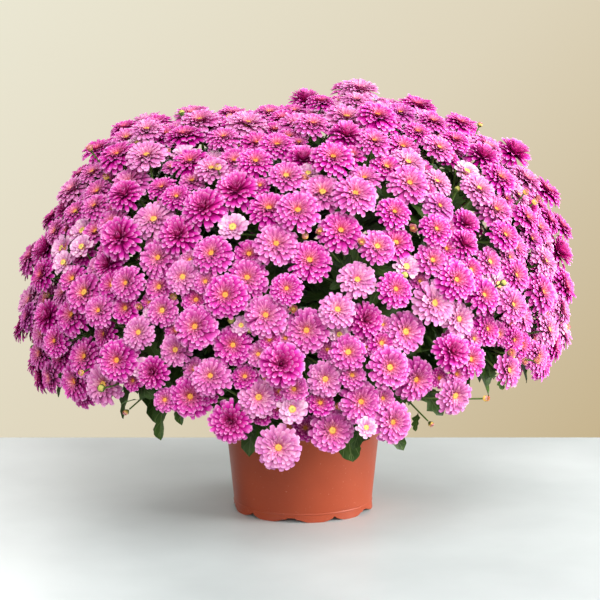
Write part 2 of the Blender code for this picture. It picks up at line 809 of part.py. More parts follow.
def wall_radius(height):
    """The pot's outside radius at a height, on its plain taper."""
    return POT_FOOT_RADIUS + (POT_RIM_RADIUS - POT_FOOT_RADIUS) * height / POT_HEIGHT


def make_pot(collection, cutters, material):
    floor_top = SKIRT_HEIGHT + FLOOR_THICK
    band = POT_HEIGHT - RIM_BAND
    profile = [
        (0.0, floor_top),
        (wall_radius(floor_top) - POT_WALL, floor_top),
        (wall_radius(POT_HEIGHT) - POT_WALL, POT_HEIGHT),
        (wall_radius(POT_HEIGHT) + RIM_STEP, POT_HEIGHT),
        (wall_radius(band), band),
        (wall_radius(SKIRT_HEIGHT) + SKIRT_RIDGE, SKIRT_HEIGHT),
        (POT_FOOT_RADIUS + SKIRT_FLARE, 0.0),
        (POT_FOOT_RADIUS + SKIRT_FLARE - POT_WALL, 0.0),
        (wall_radius(SKIRT_HEIGHT) - POT_WALL, SKIRT_HEIGHT),
        (0.0, SKIRT_HEIGHT),
    ]
    pot = turned("pot", profile, POT_SIDES, collection, material)
    for k in range(LOBE_PAIRS):
        turn = FIRST_ARCH + k * math.tau / LOBE_PAIRS
        foot_cutter("arch", turn, ARCH_WIDTH, ARCH_RISE, ARCH_SIDES, cutters)
        foot_cutter("notch", turn + math.pi / LOBE_PAIRS, NOTCH_WIDTH, NOTCH_RISE, NOTCH_SIDES, cutters)
        drain_cutter(turn, cutters)
    fused(pot, cutters, "DIFFERENCE")
    pot.data.transform(Matrix.Translation(POT_AXIS))
    return pot


def foot_cutter(name, turn, width, height, sides, cutters):
    """A bar lying across the foot, whose upper half leaves an arch or a V in it."""
    bm = bmesh.new()
    bmesh.ops.create_cone(bm, cap_ends=True, segments=sides, radius1=1.0, radius2=1.0, depth=1.0)
    bmesh.ops.rotate(bm, verts=bm.verts, matrix=Matrix.Rotation(math.pi / 2, 3, "Y"))
    size = Matrix.Diagonal((FOOT_CUT, width / 2, height, 1.0))
    spot = Matrix.Rotation(turn, 4, "Z") @ Matrix.Translation((POT_FOOT_RADIUS, 0, 0))
    bmesh.ops.transform(bm, matrix=spot @ size, verts=bm.verts)
    hide_cutter(object_from(bm, name, cutters, []))


def drain_cutter(turn, cutters):
    bm = bmesh.new()
    wide, deep = DRAIN_RADIUS, FLOOR_THICK * 3
    bmesh.ops.create_cone(bm, cap_ends=True, segments=DRAIN_SIDES, radius1=wide, radius2=wide, depth=deep)
    spot = Matrix.Rotation(turn, 4, "Z") @ Matrix.Translation((DRAIN_RING, 0, SKIRT_HEIGHT + FLOOR_THICK / 2))
    bmesh.ops.transform(bm, matrix=spot, verts=bm.verts)
    hide_cutter(object_from(bm, "drain", cutters, []))


def hide_cutter(item):
    item.hide_render = True
    item.display_type = "WIRE"


def make_soil(collection, cutters, material):
    bottom = SKIRT_HEIGHT + FLOOR_THICK + SEAT_GAP
    reach = POT_WALL + SEAT_GAP * 1.5
    profile = [
        (0.0, SOIL_TOP + SOIL_CROWN),
        (SOIL_SHOULDER, SOIL_TOP + SHOULDER_RISE),
        (wall_radius(SOIL_TOP) - reach, SOIL_TOP),
        (wall_radius(bottom) - reach, bottom),
        (0.0, bottom),
    ]
    soil = turned("soil", profile, SOIL_SIDES, collection, material)
    soil.data.transform(Matrix.Translation(POT_AXIS))
    wide = STEM_RADIUS + STEM_CLEARANCE
    middle = Vector((0, 0, STEM_FOOT - SEAT_GAP + HOLE_REACH / 2))
    for number in range(OUTER_STEMS + 1):
        bm = bmesh.new()
        bmesh.ops.create_cone(
            bm, cap_ends=True, segments=HOLE_SIDES, radius1=wide, radius2=wide, depth=HOLE_REACH
        )
        bmesh.ops.translate(bm, verts=bm.verts, vec=stem_base(number) + middle)
        hide_cutter(object_from(bm, "hole", cutters, []))
    return fused(soil, cutters, "DIFFERENCE")


def main():
    clear_scene()
    plant = new_collection("pot_chrysanthemum")
    cutters = new_collection("cutters", hidden=True)
    pink = plain_material("petals", (0.62, 0.09, 0.28), 0.6)
    stalk_green = plain_material("stalks", (0.16, 0.25, 0.07), 0.6)
    leaf_green = plain_material("leaf_green", (0.07, 0.14, 0.045), 0.55)
    terracotta = plain_material("terracotta_plastic", (0.42, 0.14, 0.075), 0.45)
    brown = plain_material("soil_brown", (0.055, 0.035, 0.022), 0.95)

    places, facings, young = place_blooms()
    owner, fork_rows = assign_sprays(places)
    blooms = (places, facings, *size_blooms(places, facings, young, fork_rows[owner]))
    forks = [Vector(row) for row in fork_rows]
    stems = stem_of_forks(fork_rows)
    stalks = [[Vector(places[i]), forks[owner[i]]] for i in range(len(places))]

    stem_paths, paths_by_stem, low_by_stem, approaches = {}, {}, {}, {}
    for number in range(OUTER_STEMS + 1):
        mine = [k for k in range(SPRAYS) if stems[k] == number]
        my_forks = [forks[k] for k in mine]
        stem_paths[number] = stem_path(number, my_forks)
        paths_by_stem[number] = branch_paths(stem_paths[number], my_forks)
        low_by_stem[number] = [fork.z < LOW_FORK for fork in my_forks]
        for k, (_, approach) in zip(mine, paths_by_stem[number]):
            approaches[k] = approach

    for k in range(SPRAYS):
        members = np.flatnonzero(owner == k)
        make_spray(k + 1, members, forks[k], approaches[k], blooms, plant, [pink, stalk_green])

    leaves = choose_leaves(paths_by_stem, low_by_stem, stalks, blooms)
    for number in range(OUTER_STEMS + 1):
        path, paths = stem_paths[number], paths_by_stem[number]
        make_leafy_stem(number + 1, path, paths, leaves[number], plant, leaf_green)
    make_pot(plant, cutters, terracotta)
    make_soil(plant, cutters, brown)
    print("leaves", sum(len(found) for found in leaves.values()))


main()
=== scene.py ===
# %% [markdown]
# # A pot chrysanthemum
#
# This lesson dresses a plain model of a garden chrysanthemum in its nursery pot. The plain model, the
# frame, says where every bloom, stem and leaf is. Here each of its solids is replaced with a finer mesh
# that keeps its place and size: petals in their layers, lobed leaves with veins, rough soil and a
# moulded plastic pot. Everything is in metres, with +Z up.

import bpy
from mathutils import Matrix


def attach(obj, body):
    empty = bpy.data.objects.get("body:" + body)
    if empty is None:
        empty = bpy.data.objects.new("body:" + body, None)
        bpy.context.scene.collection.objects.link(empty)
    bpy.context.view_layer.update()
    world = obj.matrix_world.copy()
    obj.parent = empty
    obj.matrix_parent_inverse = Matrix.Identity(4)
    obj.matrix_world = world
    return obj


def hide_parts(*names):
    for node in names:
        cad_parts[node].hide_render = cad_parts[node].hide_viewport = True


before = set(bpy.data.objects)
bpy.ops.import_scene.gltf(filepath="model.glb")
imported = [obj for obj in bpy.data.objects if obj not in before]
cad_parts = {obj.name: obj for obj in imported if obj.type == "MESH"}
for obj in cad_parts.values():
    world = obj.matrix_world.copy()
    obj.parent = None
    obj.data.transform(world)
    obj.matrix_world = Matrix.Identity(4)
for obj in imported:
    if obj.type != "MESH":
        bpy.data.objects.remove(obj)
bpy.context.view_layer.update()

# %% Bring in the tools
import math

import bmesh
import bpy
import numpy as np
from mathutils import Matrix, Vector

SEED, SPRAY_SEED, STEM_SEED = 7, 1000, 2000
GOLDEN_ANGLE = math.pi * (3 - math.sqrt(5))

# %% [markdown]
# ## The camera
#
# The photograph looks slightly down at the plant, from what is taken here to be two metres away. The
# blooms at the top are seen almost level and the pot from above, which fixes the camera's
# height. A long lens keeps the near blooms from swelling.

# %% Set up the camera
CAMERA_PLACE = Vector((0.0065, -2.06, 0.530))
CAMERA_DROP = math.radians(7.8)
CAMERA_FIELD = math.radians(19.3)

camera_data = bpy.data.cameras.new("camera")
camera_data.sensor_width = 36.0
camera_data.lens = camera_data.sensor_width / 2 / math.tan(CAMERA_FIELD / 2)
camera = bpy.data.objects.new("camera", camera_data)
camera.location = CAMERA_PLACE
camera.rotation_euler = (math.pi / 2 - CAMERA_DROP, 0, 0)
bpy.context.scene.collection.objects.link(camera)
bpy.context.scene.camera = camera
print("lens", round(camera_data.lens, 1), "mm")

# %% [markdown]
# ## Colours by their screen values
#
# A colour is easiest to judge as the 0 to 255 numbers that a screen shows. Blender's shaders want
# linear light, so one small function converts them.

# %% Convert a screen colour
def light(red, green, blue):
    """A colour in 0 to 255 screen values as linear red, green, blue and full alpha."""
    shares = [value / 255 for value in (red, green, blue)]
    return (*((s / 12.92) if s <= 0.04045 else ((s + 0.055) / 1.055) ** 2.4 for s in shares), 1.0)


print("petal pink is", [round(v, 3) for v in light(225, 70, 180)])

# %% [markdown]
# ## Building with nodes
#
# Every finish here is a Principled shader fed by a few nodes. Writing those nodes out one by one
# hides the idea, so a small class keeps a node tree and offers the steps that come back in every
# material: read a value painted on the mesh, blend two colours, make noise, and do sums. The
# surrounding is built from the same steps.

# %% A small helper for nodes
MIX_FIRST, MIX_SECOND, MIX_RESULT = 6, 7, 2


class Nodes:
    """The node tree of a material or a world, and the steps that come back in it."""

    def __init__(self, owner):
        owner.use_nodes = True
        self.tree = owner.node_tree

    def node(self, kind, **settings):
        made = self.tree.nodes.new(f"ShaderNode{kind}")
        for key, value in settings.items():
            setattr(made, key, value)
        return made

    def feed(self, socket, value):
        """Links a node's output to a socket, or sets the socket to a plain value."""
        if isinstance(value, bpy.types.NodeSocket):
            self.tree.links.new(value, socket)
        else:
            socket.default_value = value

    def fed(self, made, *values):
        """Feeds the sockets of a node in turn and gives its first output."""
        for socket, value in zip(made.inputs, values):
            self.feed(socket, value)
        return made.outputs[0]

    def split(self, vector):
        made = self.node("SeparateXYZ")
        self.fed(made, vector)
        return made.outputs

    def painted(self, name):
        """The three numbers of a vector painted on the mesh."""
        return self.split(self.node("Attribute", attribute_name=name).outputs["Vector"])

    def joined(self, x, y, z):
        return self.fed(self.node("CombineXYZ"), x, y, z)

    def sum(self, operation, first, second=0.0):
        return self.fed(self.node("Math", operation=operation), first, second)

    def times(self, first, second):
        return self.sum("MULTIPLY", first, second)

    def dot(self, vector, way):
        made = self.node("VectorMath", operation="DOT_PRODUCT")
        self.fed(made, vector, way)
        return made.outputs["Value"]

    def ramp(self, value, stops):
        """A colour that changes with a value through (position, colour) stops."""
        made = self.node("ValToRGB")
        elements = made.color_ramp.elements
        while len(elements) < len(stops):
            elements.new(0.5)
        for element, (position, colour) in zip(elements, stops):
            element.position = position
            element.color = colour
        return self.fed(made, value)

    def tones(self, value, *stops):
        """A ramp through (position, red, green, blue) stops in screen values."""
        return self.ramp(value, [(position, light(*tone)) for position, *tone in stops])

    def greys(self, value, *stops):
        """A ramp through (position, grey) stops in linear light."""
        return self.ramp(value, [(position, (grey, grey, grey, 1)) for position, grey in stops])

    def blend(self, share, first, second, kind="MIX"):
        """Two colours blended. A Mix node has sockets of their own for colours."""
        made = self.node("Mix", data_type="RGBA", blend_type=kind)
        self.feed(made.inputs["Factor"], share)
        self.feed(made.inputs[MIX_FIRST], first)
        self.feed(made.inputs[MIX_SECOND], second)
        return made.outputs[MIX_RESULT]

    def noise(self, vector, scale, detail=3.0):
        made = self.node("TexNoise")
        for label, value in (("Vector", vector), ("Scale", scale), ("Detail", detail)):
            self.feed(made.inputs[label], value)
        return made.outputs[0]


print("node helper ready")

# %% A helper for finishes
class Finish(Nodes):
    """A material under construction: a Principled shader and the nodes that feed it."""

    def __init__(self, name, roughness, shine=0.5):
        self.material = bpy.data.materials.new(name)
        super().__init__(self.material)
        self.shader = self.tree.nodes["Principled BSDF"]
        self.shader.inputs["Roughness"].default_value = roughness
        self.shader.inputs["Specular IOR Level"].default_value = shine

    def place(self):
        return self.node("TexCoord").outputs["Object"]

    def bump(self, height, strength, distance):
        made = self.node("Bump")
        for label, value in (("Strength", strength), ("Distance", distance), ("Height", height)):
            self.feed(made.inputs[label], value)
        self.feed(self.shader.inputs["Normal"], made.outputs[0])

    def coloured(self, colour):
        self.feed(self.shader.inputs["Base Color"], colour)
        return self.material


print("finish helper ready")

# %% [markdown]
# ## The floor and the light
#
# The plant stands on a pale table in soft daylight that comes from the right and above. Two wide area
# lights make soft shadows, and two weaker ones and a warm pale surrounding fill them, one of
# them for the back.

# %% Lay the floor
FLOOR_HALF_WIDTH = 3.0
FLOOR_HALF_DEPTH = 0.380

floor_finish = Finish("pale_floor", 0.42)
floor_noise = floor_finish.noise(floor_finish.place(), 3.2, 6.0)
floor_tint = floor_finish.tones(floor_noise, (0.35, 192, 200, 201), (0.62, 209, 217, 218))
floor_mesh = bpy.data.meshes.new("floor")
floor_shape = bmesh.new()
bmesh.ops.create_grid(floor_shape, x_segments=1, y_segments=1, size=1.0)
floor_size = Matrix.Diagonal((FLOOR_HALF_WIDTH, FLOOR_HALF_DEPTH, 1.0, 1.0))
bmesh.ops.transform(floor_shape, matrix=floor_size, verts=floor_shape.verts)
floor_shape.to_mesh(floor_mesh)
floor_shape.free()
floor_mesh.materials.append(floor_finish.coloured(floor_tint))
floor = bpy.data.objects.new("floor", floor_mesh)
bpy.context.scene.collection.objects.link(floor)
print("floor", floor.dimensions)

# %% Hang the lights
LIGHT_AIM = Vector((0, 0, 0.24))
LIGHTS = (
    ("window", (2.5, -0.60, 1.05), 1.4, 103.0, (1.0, 0.98, 0.95)),
    ("sky", (0.45, -2.6, 1.95), 2.6, 112.0, (1.0, 1.0, 1.0)),
    ("bounce", (-1.7, -2.2, 0.90), 1.6, 18.0, (1.0, 0.97, 0.95)),
    ("back", (-1.4, 2.4, 1.8), 2.0, 52.0, (1.0, 0.98, 0.95)),
)

for name, place, size, power, tint in LIGHTS:
    lamp = bpy.data.lights.new(name, "AREA")
    lamp.size = size
    lamp.energy = power
    lamp.color = tint
    hung = bpy.data.objects.new(name, lamp)
    hung.location = place
    hung.rotation_euler = (LIGHT_AIM - Vector(place)).to_track_quat("-Z", "Y").to_euler()
    bpy.context.scene.collection.objects.link(hung)

# %% [markdown]
# ## The surrounding
#
# The room is pale, and its walls send a little light back from all sides. What the camera sees
# there is a warm pale wall that gets deeper in tone down to the right. The walls' own light is set
# weaker than that tone, because a bright room on all sides would take the shade out of the
# bush. It is strongest from the right and from behind, where the wall is near.

# %% Set the surrounding
WALL_TONES = ((0.0, 235, 231, 211), (0.5, 223, 213, 188), (1.0, 198, 179, 141))
WALL_FALL = (1.7, 0.0, -1.7)
WALL_START = 0.34
ROOM_TINT = (255, 250, 240)
ROOM_LIGHT = 0.28
ROOM_LEAN = (0.14, 0.16, 0.06)

surround = bpy.data.worlds.new("surround")
room = Nodes(surround)
seen, lit = room.tree.nodes["Background"], room.node("Background")
way = room.node("TexCoord").outputs["Generated"]
room.feed(lit.inputs["Color"], light(*ROOM_TINT))
room.feed(lit.inputs["Strength"], room.sum("ADD", room.dot(way, ROOM_LEAN), ROOM_LIGHT))
wall_share = room.sum("ADD", room.dot(way, WALL_FALL), WALL_START)
room.feed(seen.inputs["Color"], room.tones(wall_share, *WALL_TONES))
to_camera = room.node("LightPath").outputs["Is Camera Ray"]
both = room.fed(room.node("MixShader"), to_camera, lit.outputs[0], seen.outputs[0])
room.feed(room.tree.nodes["World Output"].inputs["Surface"], both)
bpy.context.scene.world = surround
bpy.context.scene.view_settings.view_transform = "Standard"
print("nodes of the surrounding", len(room.tree.nodes))

# %% [markdown]
# ## Reading the blooms from the frame
#
# In the frame each bloom is a low star-shaped dome on a stalk. The point at its top is joined to every
# point of its rim, so a point with exactly that many short edges is the top of a bloom. Its rim
# tells the middle, the facing and the size. Reading them here, instead of repeating numbers,
# keeps the blooms of the two models together. They all lean a little to the light, the upper ones
# most, as the flowers of a plant at a window do.

# %% Find every bloom
RIM_POINTS = 10
LONGEST_SPOKE = 0.034
RIM_DROP = 0.08
WELD = 0.00001
FOOT_POINTS = 3
HEART = Vector((0.0, 0.0, 0.155))
HEART_PLACE = np.array(HEART)
LEAN = Vector((0.06, -0.32, 0.04))
LEAST_LEAN = 0.4


def welded(name):
    """A solid of the frame with the points that lie at one place joined."""
    bm = bmesh.new()
    bm.from_mesh(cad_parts[name].data)
    bmesh.ops.remove_doubles(bm, verts=bm.verts, dist=WELD)
    return bm


def read_bloom(top):
    """Place, facing and radius of the bloom under a top point, or None where there is no bloom."""
    rim = [edge.other_vert(top) for edge in top.link_edges]
    if len(rim) != RIM_POINTS or max((v.co - top.co).length for v in rim) > LONGEST_SPOKE:
        return None
    rim.sort(key=lambda v: (v.co - top.co).length)
    tips = [v.co for v in rim[RIM_POINTS // 2:]]
    middle = sum(tips, Vector()) / len(tips)
    radius = sum((tip - middle).length for tip in tips) / len(tips)
    facing = (top.co - middle).normalized()
    place = middle + facing * radius * RIM_DROP
    lean = LEAN * (LEAST_LEAN + (1 - LEAST_LEAN) * max(facing.z, 0))
    return place, (facing + lean).normalized(), radius


def read_spray(name):
    """The blooms of one spray and the fork where its stalks part."""
    bm = welded(name)
    blooms = [found for found in map(read_bloom, bm.verts) if found]
    foot = sorted((v.co.copy() for v in bm.verts), key=lambda p: (p - HEART).length)
    bm.free()
    return blooms, sum(foot[:FOOT_POINTS], Vector()) / FOOT_POINTS


spray_names = sorted(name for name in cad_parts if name.startswith("spray_"))
sprays = {name: read_spray(name) for name in spray_names}
all_blooms = [bloom for blooms, _ in sprays.values() for bloom in blooms]
bloom_places = np.array([tuple(place) for place, _, _ in all_blooms])
bloom_radii = np.array([radius for _, _, radius in all_blooms])
print("sprays", len(sprays), "blooms", len(all_blooms), "median radius", np.median(bloom_radii).round(4))

# %% [markdown]
# ## Gathering a mesh piece by piece
#
# One spray holds hundreds of petals. Making an object for each would be slow and heavy, so the points
# and faces of all its small parts are gathered in one body and become one mesh at the end.
# Each point also carries two painted vectors, which the finishes read: where it lies on its
# petal or leaf, and what kind of petal or leaf that is.

# %% A body that gathers points and faces
class Body:
    """Points, faces, slots and painted vectors that become one mesh."""

    def __init__(self):
        self.points, self.faces, self.slots, self.spots, self.marks = [], [], [], [], []
        self.count = 0

    def add(self, points, faces, slot, spots=None, marks=(0, 0, 0)):
        """Adds a part. Faces count from the part's own first point."""
        points = np.asarray(points, float).reshape(-1, 3)
        self.points.append(points)
        self.faces.extend((np.asarray(face) + self.count).tolist() for face in faces)
        self.slots.extend([slot] * len(faces))
        self.spots.append(np.zeros_like(points) if spots is None else np.asarray(spots).reshape(-1, 3))
        self.marks.append(np.broadcast_to(marks, points.shape))
        self.count += len(points)

    def finished(self, name, finishes, replaced):
        """The gathered mesh as a smooth-shaded object that stands for a solid of the frame."""
        mesh = bpy.data.meshes.new(name)
        mesh.from_pydata(np.concatenate(self.points).tolist(), [], self.faces)
        for finish in finishes:
            mesh.materials.append(finish)
        mesh.polygons.foreach_set("material_index", self.slots)
        for label, rows in (("spot", self.spots), ("mark", self.marks)):
            layer = mesh.attributes.new(label, "FLOAT_VECTOR", "POINT")
            layer.data.foreach_set("vector", np.concatenate(rows).ravel())
        mesh.shade_smooth()
        made = bpy.data.objects.new(name, mesh)
        bpy.context.scene.collection.objects.link(made)
        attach(made, "root")
        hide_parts(replaced)
        return made


print("body helper ready")

# %% [markdown]
# ## One petal
#
# A chrysanthemum petal is a spoon: narrow at its root, widest near its round tip, with a shallow channel
# along the middle. The outer ones arch out and droop, the inner ones stand up. All petals of a
# bloom share one grid of points that a formula bends, three across and a few along. With numpy
# the formula is worked out for all petals of a bloom at once, which keeps 70,000 petals quick.

# %% Shape the petals of a bloom
RIM_ROWS = np.array([[0.0, 0.36], [0.42, 0.80], [0.84, 1.0], [1.0, 0.70]])
MIDDLE_ROWS = np.array([[0.0, 0.40], [0.72, 1.0], [1.0, 0.66]])
INNER_ROWS = np.array([[0.0, 0.50], [0.66, 1.0], [1.0, 0.0]])
PETAL_COLUMNS = np.array([-1.0, 0.0, 1.0])
TIP_REACH = 0.035
POINTED_COUNT = 7


def grid_faces(rows, columns, copies):
    """Four-sided faces of so many grids of points, one after another."""
    corner = np.arange(rows - 1)[:, None] * columns + np.arange(columns - 1)
    quad = np.stack([corner, corner + 1, corner + columns + 1, corner + columns], axis=-1).reshape(-1, 4)
    return (quad + np.arange(copies)[:, None, None] * rows * columns).reshape(-1, 4)


def pointed_faces(copies):
    """Faces of petals of seven points each: two rows of three and one point as the tip."""
    first = np.arange(copies)[:, None, None] * POINTED_COUNT
    quads = (np.array([[0, 1, 4, 3], [1, 2, 5, 4]]) + first).reshape(-1, 4).tolist()
    tips = (np.array([[3, 4, 6], [4, 5, 6]]) + first).reshape(-1, 3).tolist()
    return quads + tips


def petal_points(rows, turn, reach, width, root, lift, rise, bend, cup):
    """Points of all petals in the bloom's own frame, each value given petal by petal."""
    along, widths = rows.T
    step, middle = np.diff(along), (along[1:] + along[:-1]) / 2
    slope = rise[:, None] - bend[:, None] * middle
    start = np.zeros((len(turn), 1))
    run = np.concatenate([start, np.cumsum(np.cos(slope) * step, axis=1)], axis=1)
    climb = np.concatenate([start, np.cumsum(np.sin(slope) * step, axis=1)], axis=1)
    tilt = rise[:, None] - bend[:, None] * along
    half = width[:, None] * widths / 2
    side = half[..., None] * PETAL_COLUMNS
    raised = cup[:, None, None] * np.abs(side)
    out = (root[:, None] + reach[:, None] * run)[..., None] - np.sin(tilt)[..., None] * raised
    up = (lift[:, None] + reach[:, None] * climb)[..., None] + np.cos(tilt)[..., None] * raised
    out[:, -1, 1] += TIP_REACH * reach * np.cos(tilt[:, -1])
    up[:, -1, 1] += TIP_REACH * reach * np.sin(tilt[:, -1])
    cos, sin = np.cos(turn)[:, None, None], np.sin(turn)[:, None, None]
    return np.stack([out * cos - side * sin, out * sin + side * cos, up], axis=-1)


rim_faces = grid_faces(len(RIM_ROWS), len(PETAL_COLUMNS), 1)
print("faces of a rim petal", len(rim_faces), "inner", len(pointed_faces(1)))

# %% [markdown]
# ## Kinds of bloom
#
# A plant in full flower carries blooms of every age. Most are open, with a yellow eye in a nest of short
# petals. Some are still balls without an eye, some are young, small and pale, a few are old and
# turning mauve, and the buds have only begun to open. Each kind is a short list of driving
# values: how many petals, how steep they stand outside and inside, and how far they curl. The
# shares say how often a grown bloom is of a kind.

# %% List the kinds
KIND_PARTS = ("petals", "eye", "rise", "bend", "inner", "age", "fade")
KIND_TABLE = {
    "open": (124, 0.13, (8, 66), (50, 26), 0.31, 0.0, 0.0),
    "ball": (126, 0.04, (6, 84), (54, -26), 0.46, -0.8, 0.0),
    "paler": (100, 0.16, (12, 62), (44, 26), 0.36, 0.38, 0.0),
    "faded": (92, 0.13, (4, 58), (40, 26), 0.36, 0.0, 0.55),
    "late": (72, 0.15, (12, 62), (40, 24), 0.38, 0.05, 0.0),
    "young": (40, 0.25, (22, 60), (26, 16), 0.48, 1.0, 0.0),
    "opening": (24, 0.34, (62, 80), (6, -22), 0.72, 0.8, -0.8),
    "tight": (20, 0.46, (84, 98), (-24, -44), 0.80, 1.0, -1.0),
}
KINDS = {name: dict(zip(KIND_PARTS, row)) for name, row in KIND_TABLE.items()}
KIND_SHARES = {"open": 0.62, "ball": 0.12, "paler": 0.24, "faded": 0.02}

print("kinds", ", ".join(KINDS))

# %% Place the petals of a kind
RIM_SHARE, MIDDLE_SHARE = 0.32, 0.68
FULL_COUNT = 116
GROWN_COUNT = 60
AGE_SPREAD = (-0.30, 0.24)
PETAL_WIDTH = 0.250
WIDTH_LOSS, ROOT_LOSS = 0.38, 0.25
RIM_REACH = 1.01
REACH_POWER, RISE_POWER = 1.6, 0.8
LIFT = 0.14
CUP, CUP_GAIN = 0.22, 0.50
SWAYS = (0.06, 0.03, 0.08, 4.0, 6.0)


def with_one_tip(values):
    """Keeps of the last row only its middle point, which leaves seven points a petal."""
    rows = values[:, :2].reshape(len(values), POINTED_COUNT - 1, 3)
    return np.concatenate([rows, values[:, 2, 1:2]], axis=1)


def between(ends, share):
    return ends[0] + (ends[1] - ends[0]) * share


def bloom_petals(kind, radius, rng):
    """Petals from the rim inwards by the golden angle: for each grid its faces, points, spots and marks."""
    about = KINDS[kind]
    count = about["petals"]
    depth = np.arange(count) / (count - 1)
    sway = rng.normal(size=(len(SWAYS), count)) * np.array(SWAYS)[:, None]
    turn = np.arange(count) * GOLDEN_ANGLE + rng.uniform(0, math.tau) + sway[0]
    root = radius * about["eye"] * (1.0 - ROOT_LOSS * depth)
    reach = radius * between((RIM_REACH, about["inner"]), depth ** REACH_POWER) * (1 + sway[1]) - root
    width = radius * PETAL_WIDTH * math.sqrt(FULL_COUNT / count) * (1 - WIDTH_LOSS * depth) * (1 + sway[2])
    rise = np.radians(between(about["rise"], depth ** RISE_POWER) + sway[3])
    bend = np.radians(between(about["bend"], depth) + sway[4])
    driven = (turn, reach, width, root, radius * LIFT * depth, rise, bend, CUP + CUP_GAIN * depth)
    own = rng.random(count)
    own_age = about["age"] + (rng.uniform(*AGE_SPREAD) if count > GROWN_COUNT else 0.0)
    ends = [0, int(count * RIM_SHARE), int(count * MIDDLE_SHARE), count]
    parts = []
    for rows, first, last in zip((RIM_ROWS, MIDDLE_ROWS, INNER_ROWS), ends, ends[1:]):
        points = petal_points(rows, *(value[first:last] for value in driven))
        spots, marks = np.empty(points.shape), np.empty(points.shape)
        each = slice(first, last), None, None
        for axis, (spot, mark) in enumerate(((PETAL_COLUMNS, depth[each]), (rows[:, :1], own_age),
                                             (own[each], about["fade"]))):
            spots[..., axis] = spot
            marks[..., axis] = mark
        faces = grid_faces(len(rows), len(PETAL_COLUMNS), len(points))
        if rows is INNER_ROWS:
            faces = pointed_faces(len(points))
            points, spots, marks = (with_one_tip(values) for values in (points, spots, marks))
        parts.append((faces, points, spots, marks))
    return parts


sample = bloom_petals("open", 0.02, np.random.default_rng(1))
print("petals of an open bloom", sum(len(points) for _, points, _, _ in sample))

# %% [markdown]
# ## The eye, the calyx and the stalks
#
# Under its petals a bloom sits in a green cup, and in the middle of an open one is a low cushion of tiny
# tube florets, each ending in a yellow point. Both are turned shapes: rings of points at given
# radii and heights. On two rings of the eye every other point is lifted, which reads as
# florets at this size. A stalk is the same thing bent along a curve: a tube.

# %% Turned shapes and tubes
TUBE_HINT, OTHER_HINT = np.array([0.31, 0.57, 0.76]), np.array([1.0, 0.0, 0.0])
HINT_MATCH = 0.9


def ring_faces(rings, sides):
    """Four-sided faces between rings of points that close on themselves."""
    corner = np.arange(rings - 1)[:, None] * sides + np.arange(sides)
    beside = np.arange(rings - 1)[:, None] * sides + (np.arange(sides) + 1) % sides
    return np.stack([corner, beside, beside + sides, corner + sides], axis=-1).reshape(-1, 4)


def turned(profile, sides):
    """Points of a profile of (radius, height) turned about Z, from its first ring to its last."""
    turn = np.arange(sides) * math.tau / sides
    radius, height = np.array(profile).T
    x, y = radius[:, None] * np.cos(turn), radius[:, None] * np.sin(turn)
    return np.stack([x, y, np.broadcast_to(height[:, None], x.shape)], axis=-1)


def tube(path, radii, sides):
    """Points of a tube along a path, ring by ring."""
    path = np.array([tuple(p) for p in path])
    ahead = np.gradient(path, axis=0)
    ahead /= np.linalg.norm(ahead, axis=1)[:, None]
    hint = TUBE_HINT if abs(ahead[0] @ TUBE_HINT) < HINT_MATCH else OTHER_HINT
    side = np.cross(ahead, hint)
    side /= np.linalg.norm(side, axis=1)[:, None]
    other = np.cross(ahead, side)
    turn = np.arange(sides) * math.tau / sides
    ring = np.cos(turn)[:, None] * side[:, None] + np.sin(turn)[:, None] * other[:, None]
    return path[:, None] + np.asarray(radii)[:, None, None] * ring


def bezier(start, first, second, end, count):
    """Points on the curve from start to end that leaves towards first and arrives from second."""
    share = np.linspace(0, 1, count)[:, None]
    a, b, c, d = (np.array(p) for p in (start, first, second, end))
    rest = 1 - share
    return a * rest ** 3 + b * 3 * rest ** 2 * share + c * 3 * rest * share ** 2 + d * share ** 3


print("ring of faces", len(ring_faces(2, 6)))

# %% Dress one bloom
PETAL, EYE, GREEN, LEAF = range(4)
EYE_SIDES = 10
EYE_PROFILE = np.array([[1.0, -0.4], [0.94, 0.22], [0.52, 0.42], [0.02, 0.34]])
EYE_SPREAD = 1.05
LEAST_EYE = 0.1
OUTER_FLORETS, INNER_FLORETS = 0.22, 0.20
CALYX_SIDES = 6
CALYX_DEPTH = 0.30
CALYX_ROOT = 0.0010
CALYX_SIDE, CALYX_SPREAD = (0.85, 0.6), 1.1
CALYX_POINTS = 0.3
CUP_SHARE, LEAST_CUP = 0.20, 0.0030


def seat(place, facing, spin):
    """The turn and place that carry +Z at the origin to a facing at a place, as a rotation and a shift."""
    turn = facing.to_track_quat("Z", "Y").to_matrix() @ Matrix.Rotation(spin, 3, "Z")
    return np.array(turn), np.array(place)


def moved(points, turn, shift):
    return points.reshape(-1, 3) @ turn.T + shift


def add_eye(body, radius, height, turn, shift, age):
    """A cushion of florets: rings with every other point lifted."""
    points = turned(EYE_PROFILE * radius, EYE_SIDES)
    points[1, ::2, 2] += OUTER_FLORETS * radius
    points[2, 1::2, 2] += INNER_FLORETS * radius
    points[..., 2] += height
    spots = np.zeros(points.shape)
    spots[..., 1] = np.linspace(0, 1, len(points))[:, None]
    body.add(moved(points, turn, shift), ring_faces(len(points), EYE_SIDES), EYE, spots, (0, age, 0))


def add_calyx(body, radius, turn, shift):
    """The green cup under the petals, its upper edge cut into short points."""
    low, cup = -CALYX_DEPTH * radius, max(CUP_SHARE * radius, LEAST_CUP)
    side, edge = CALYX_SIDE
    profile = [(CALYX_ROOT, low - CALYX_ROOT), (side * cup, edge * low), (CALYX_SPREAD * cup, 0.0)]
    points = turned(profile, CALYX_SIDES)
    points[-1, ::2, 2] += CALYX_POINTS * cup
    body.add(moved(points, turn, shift), ring_faces(len(points), CALYX_SIDES), GREEN)


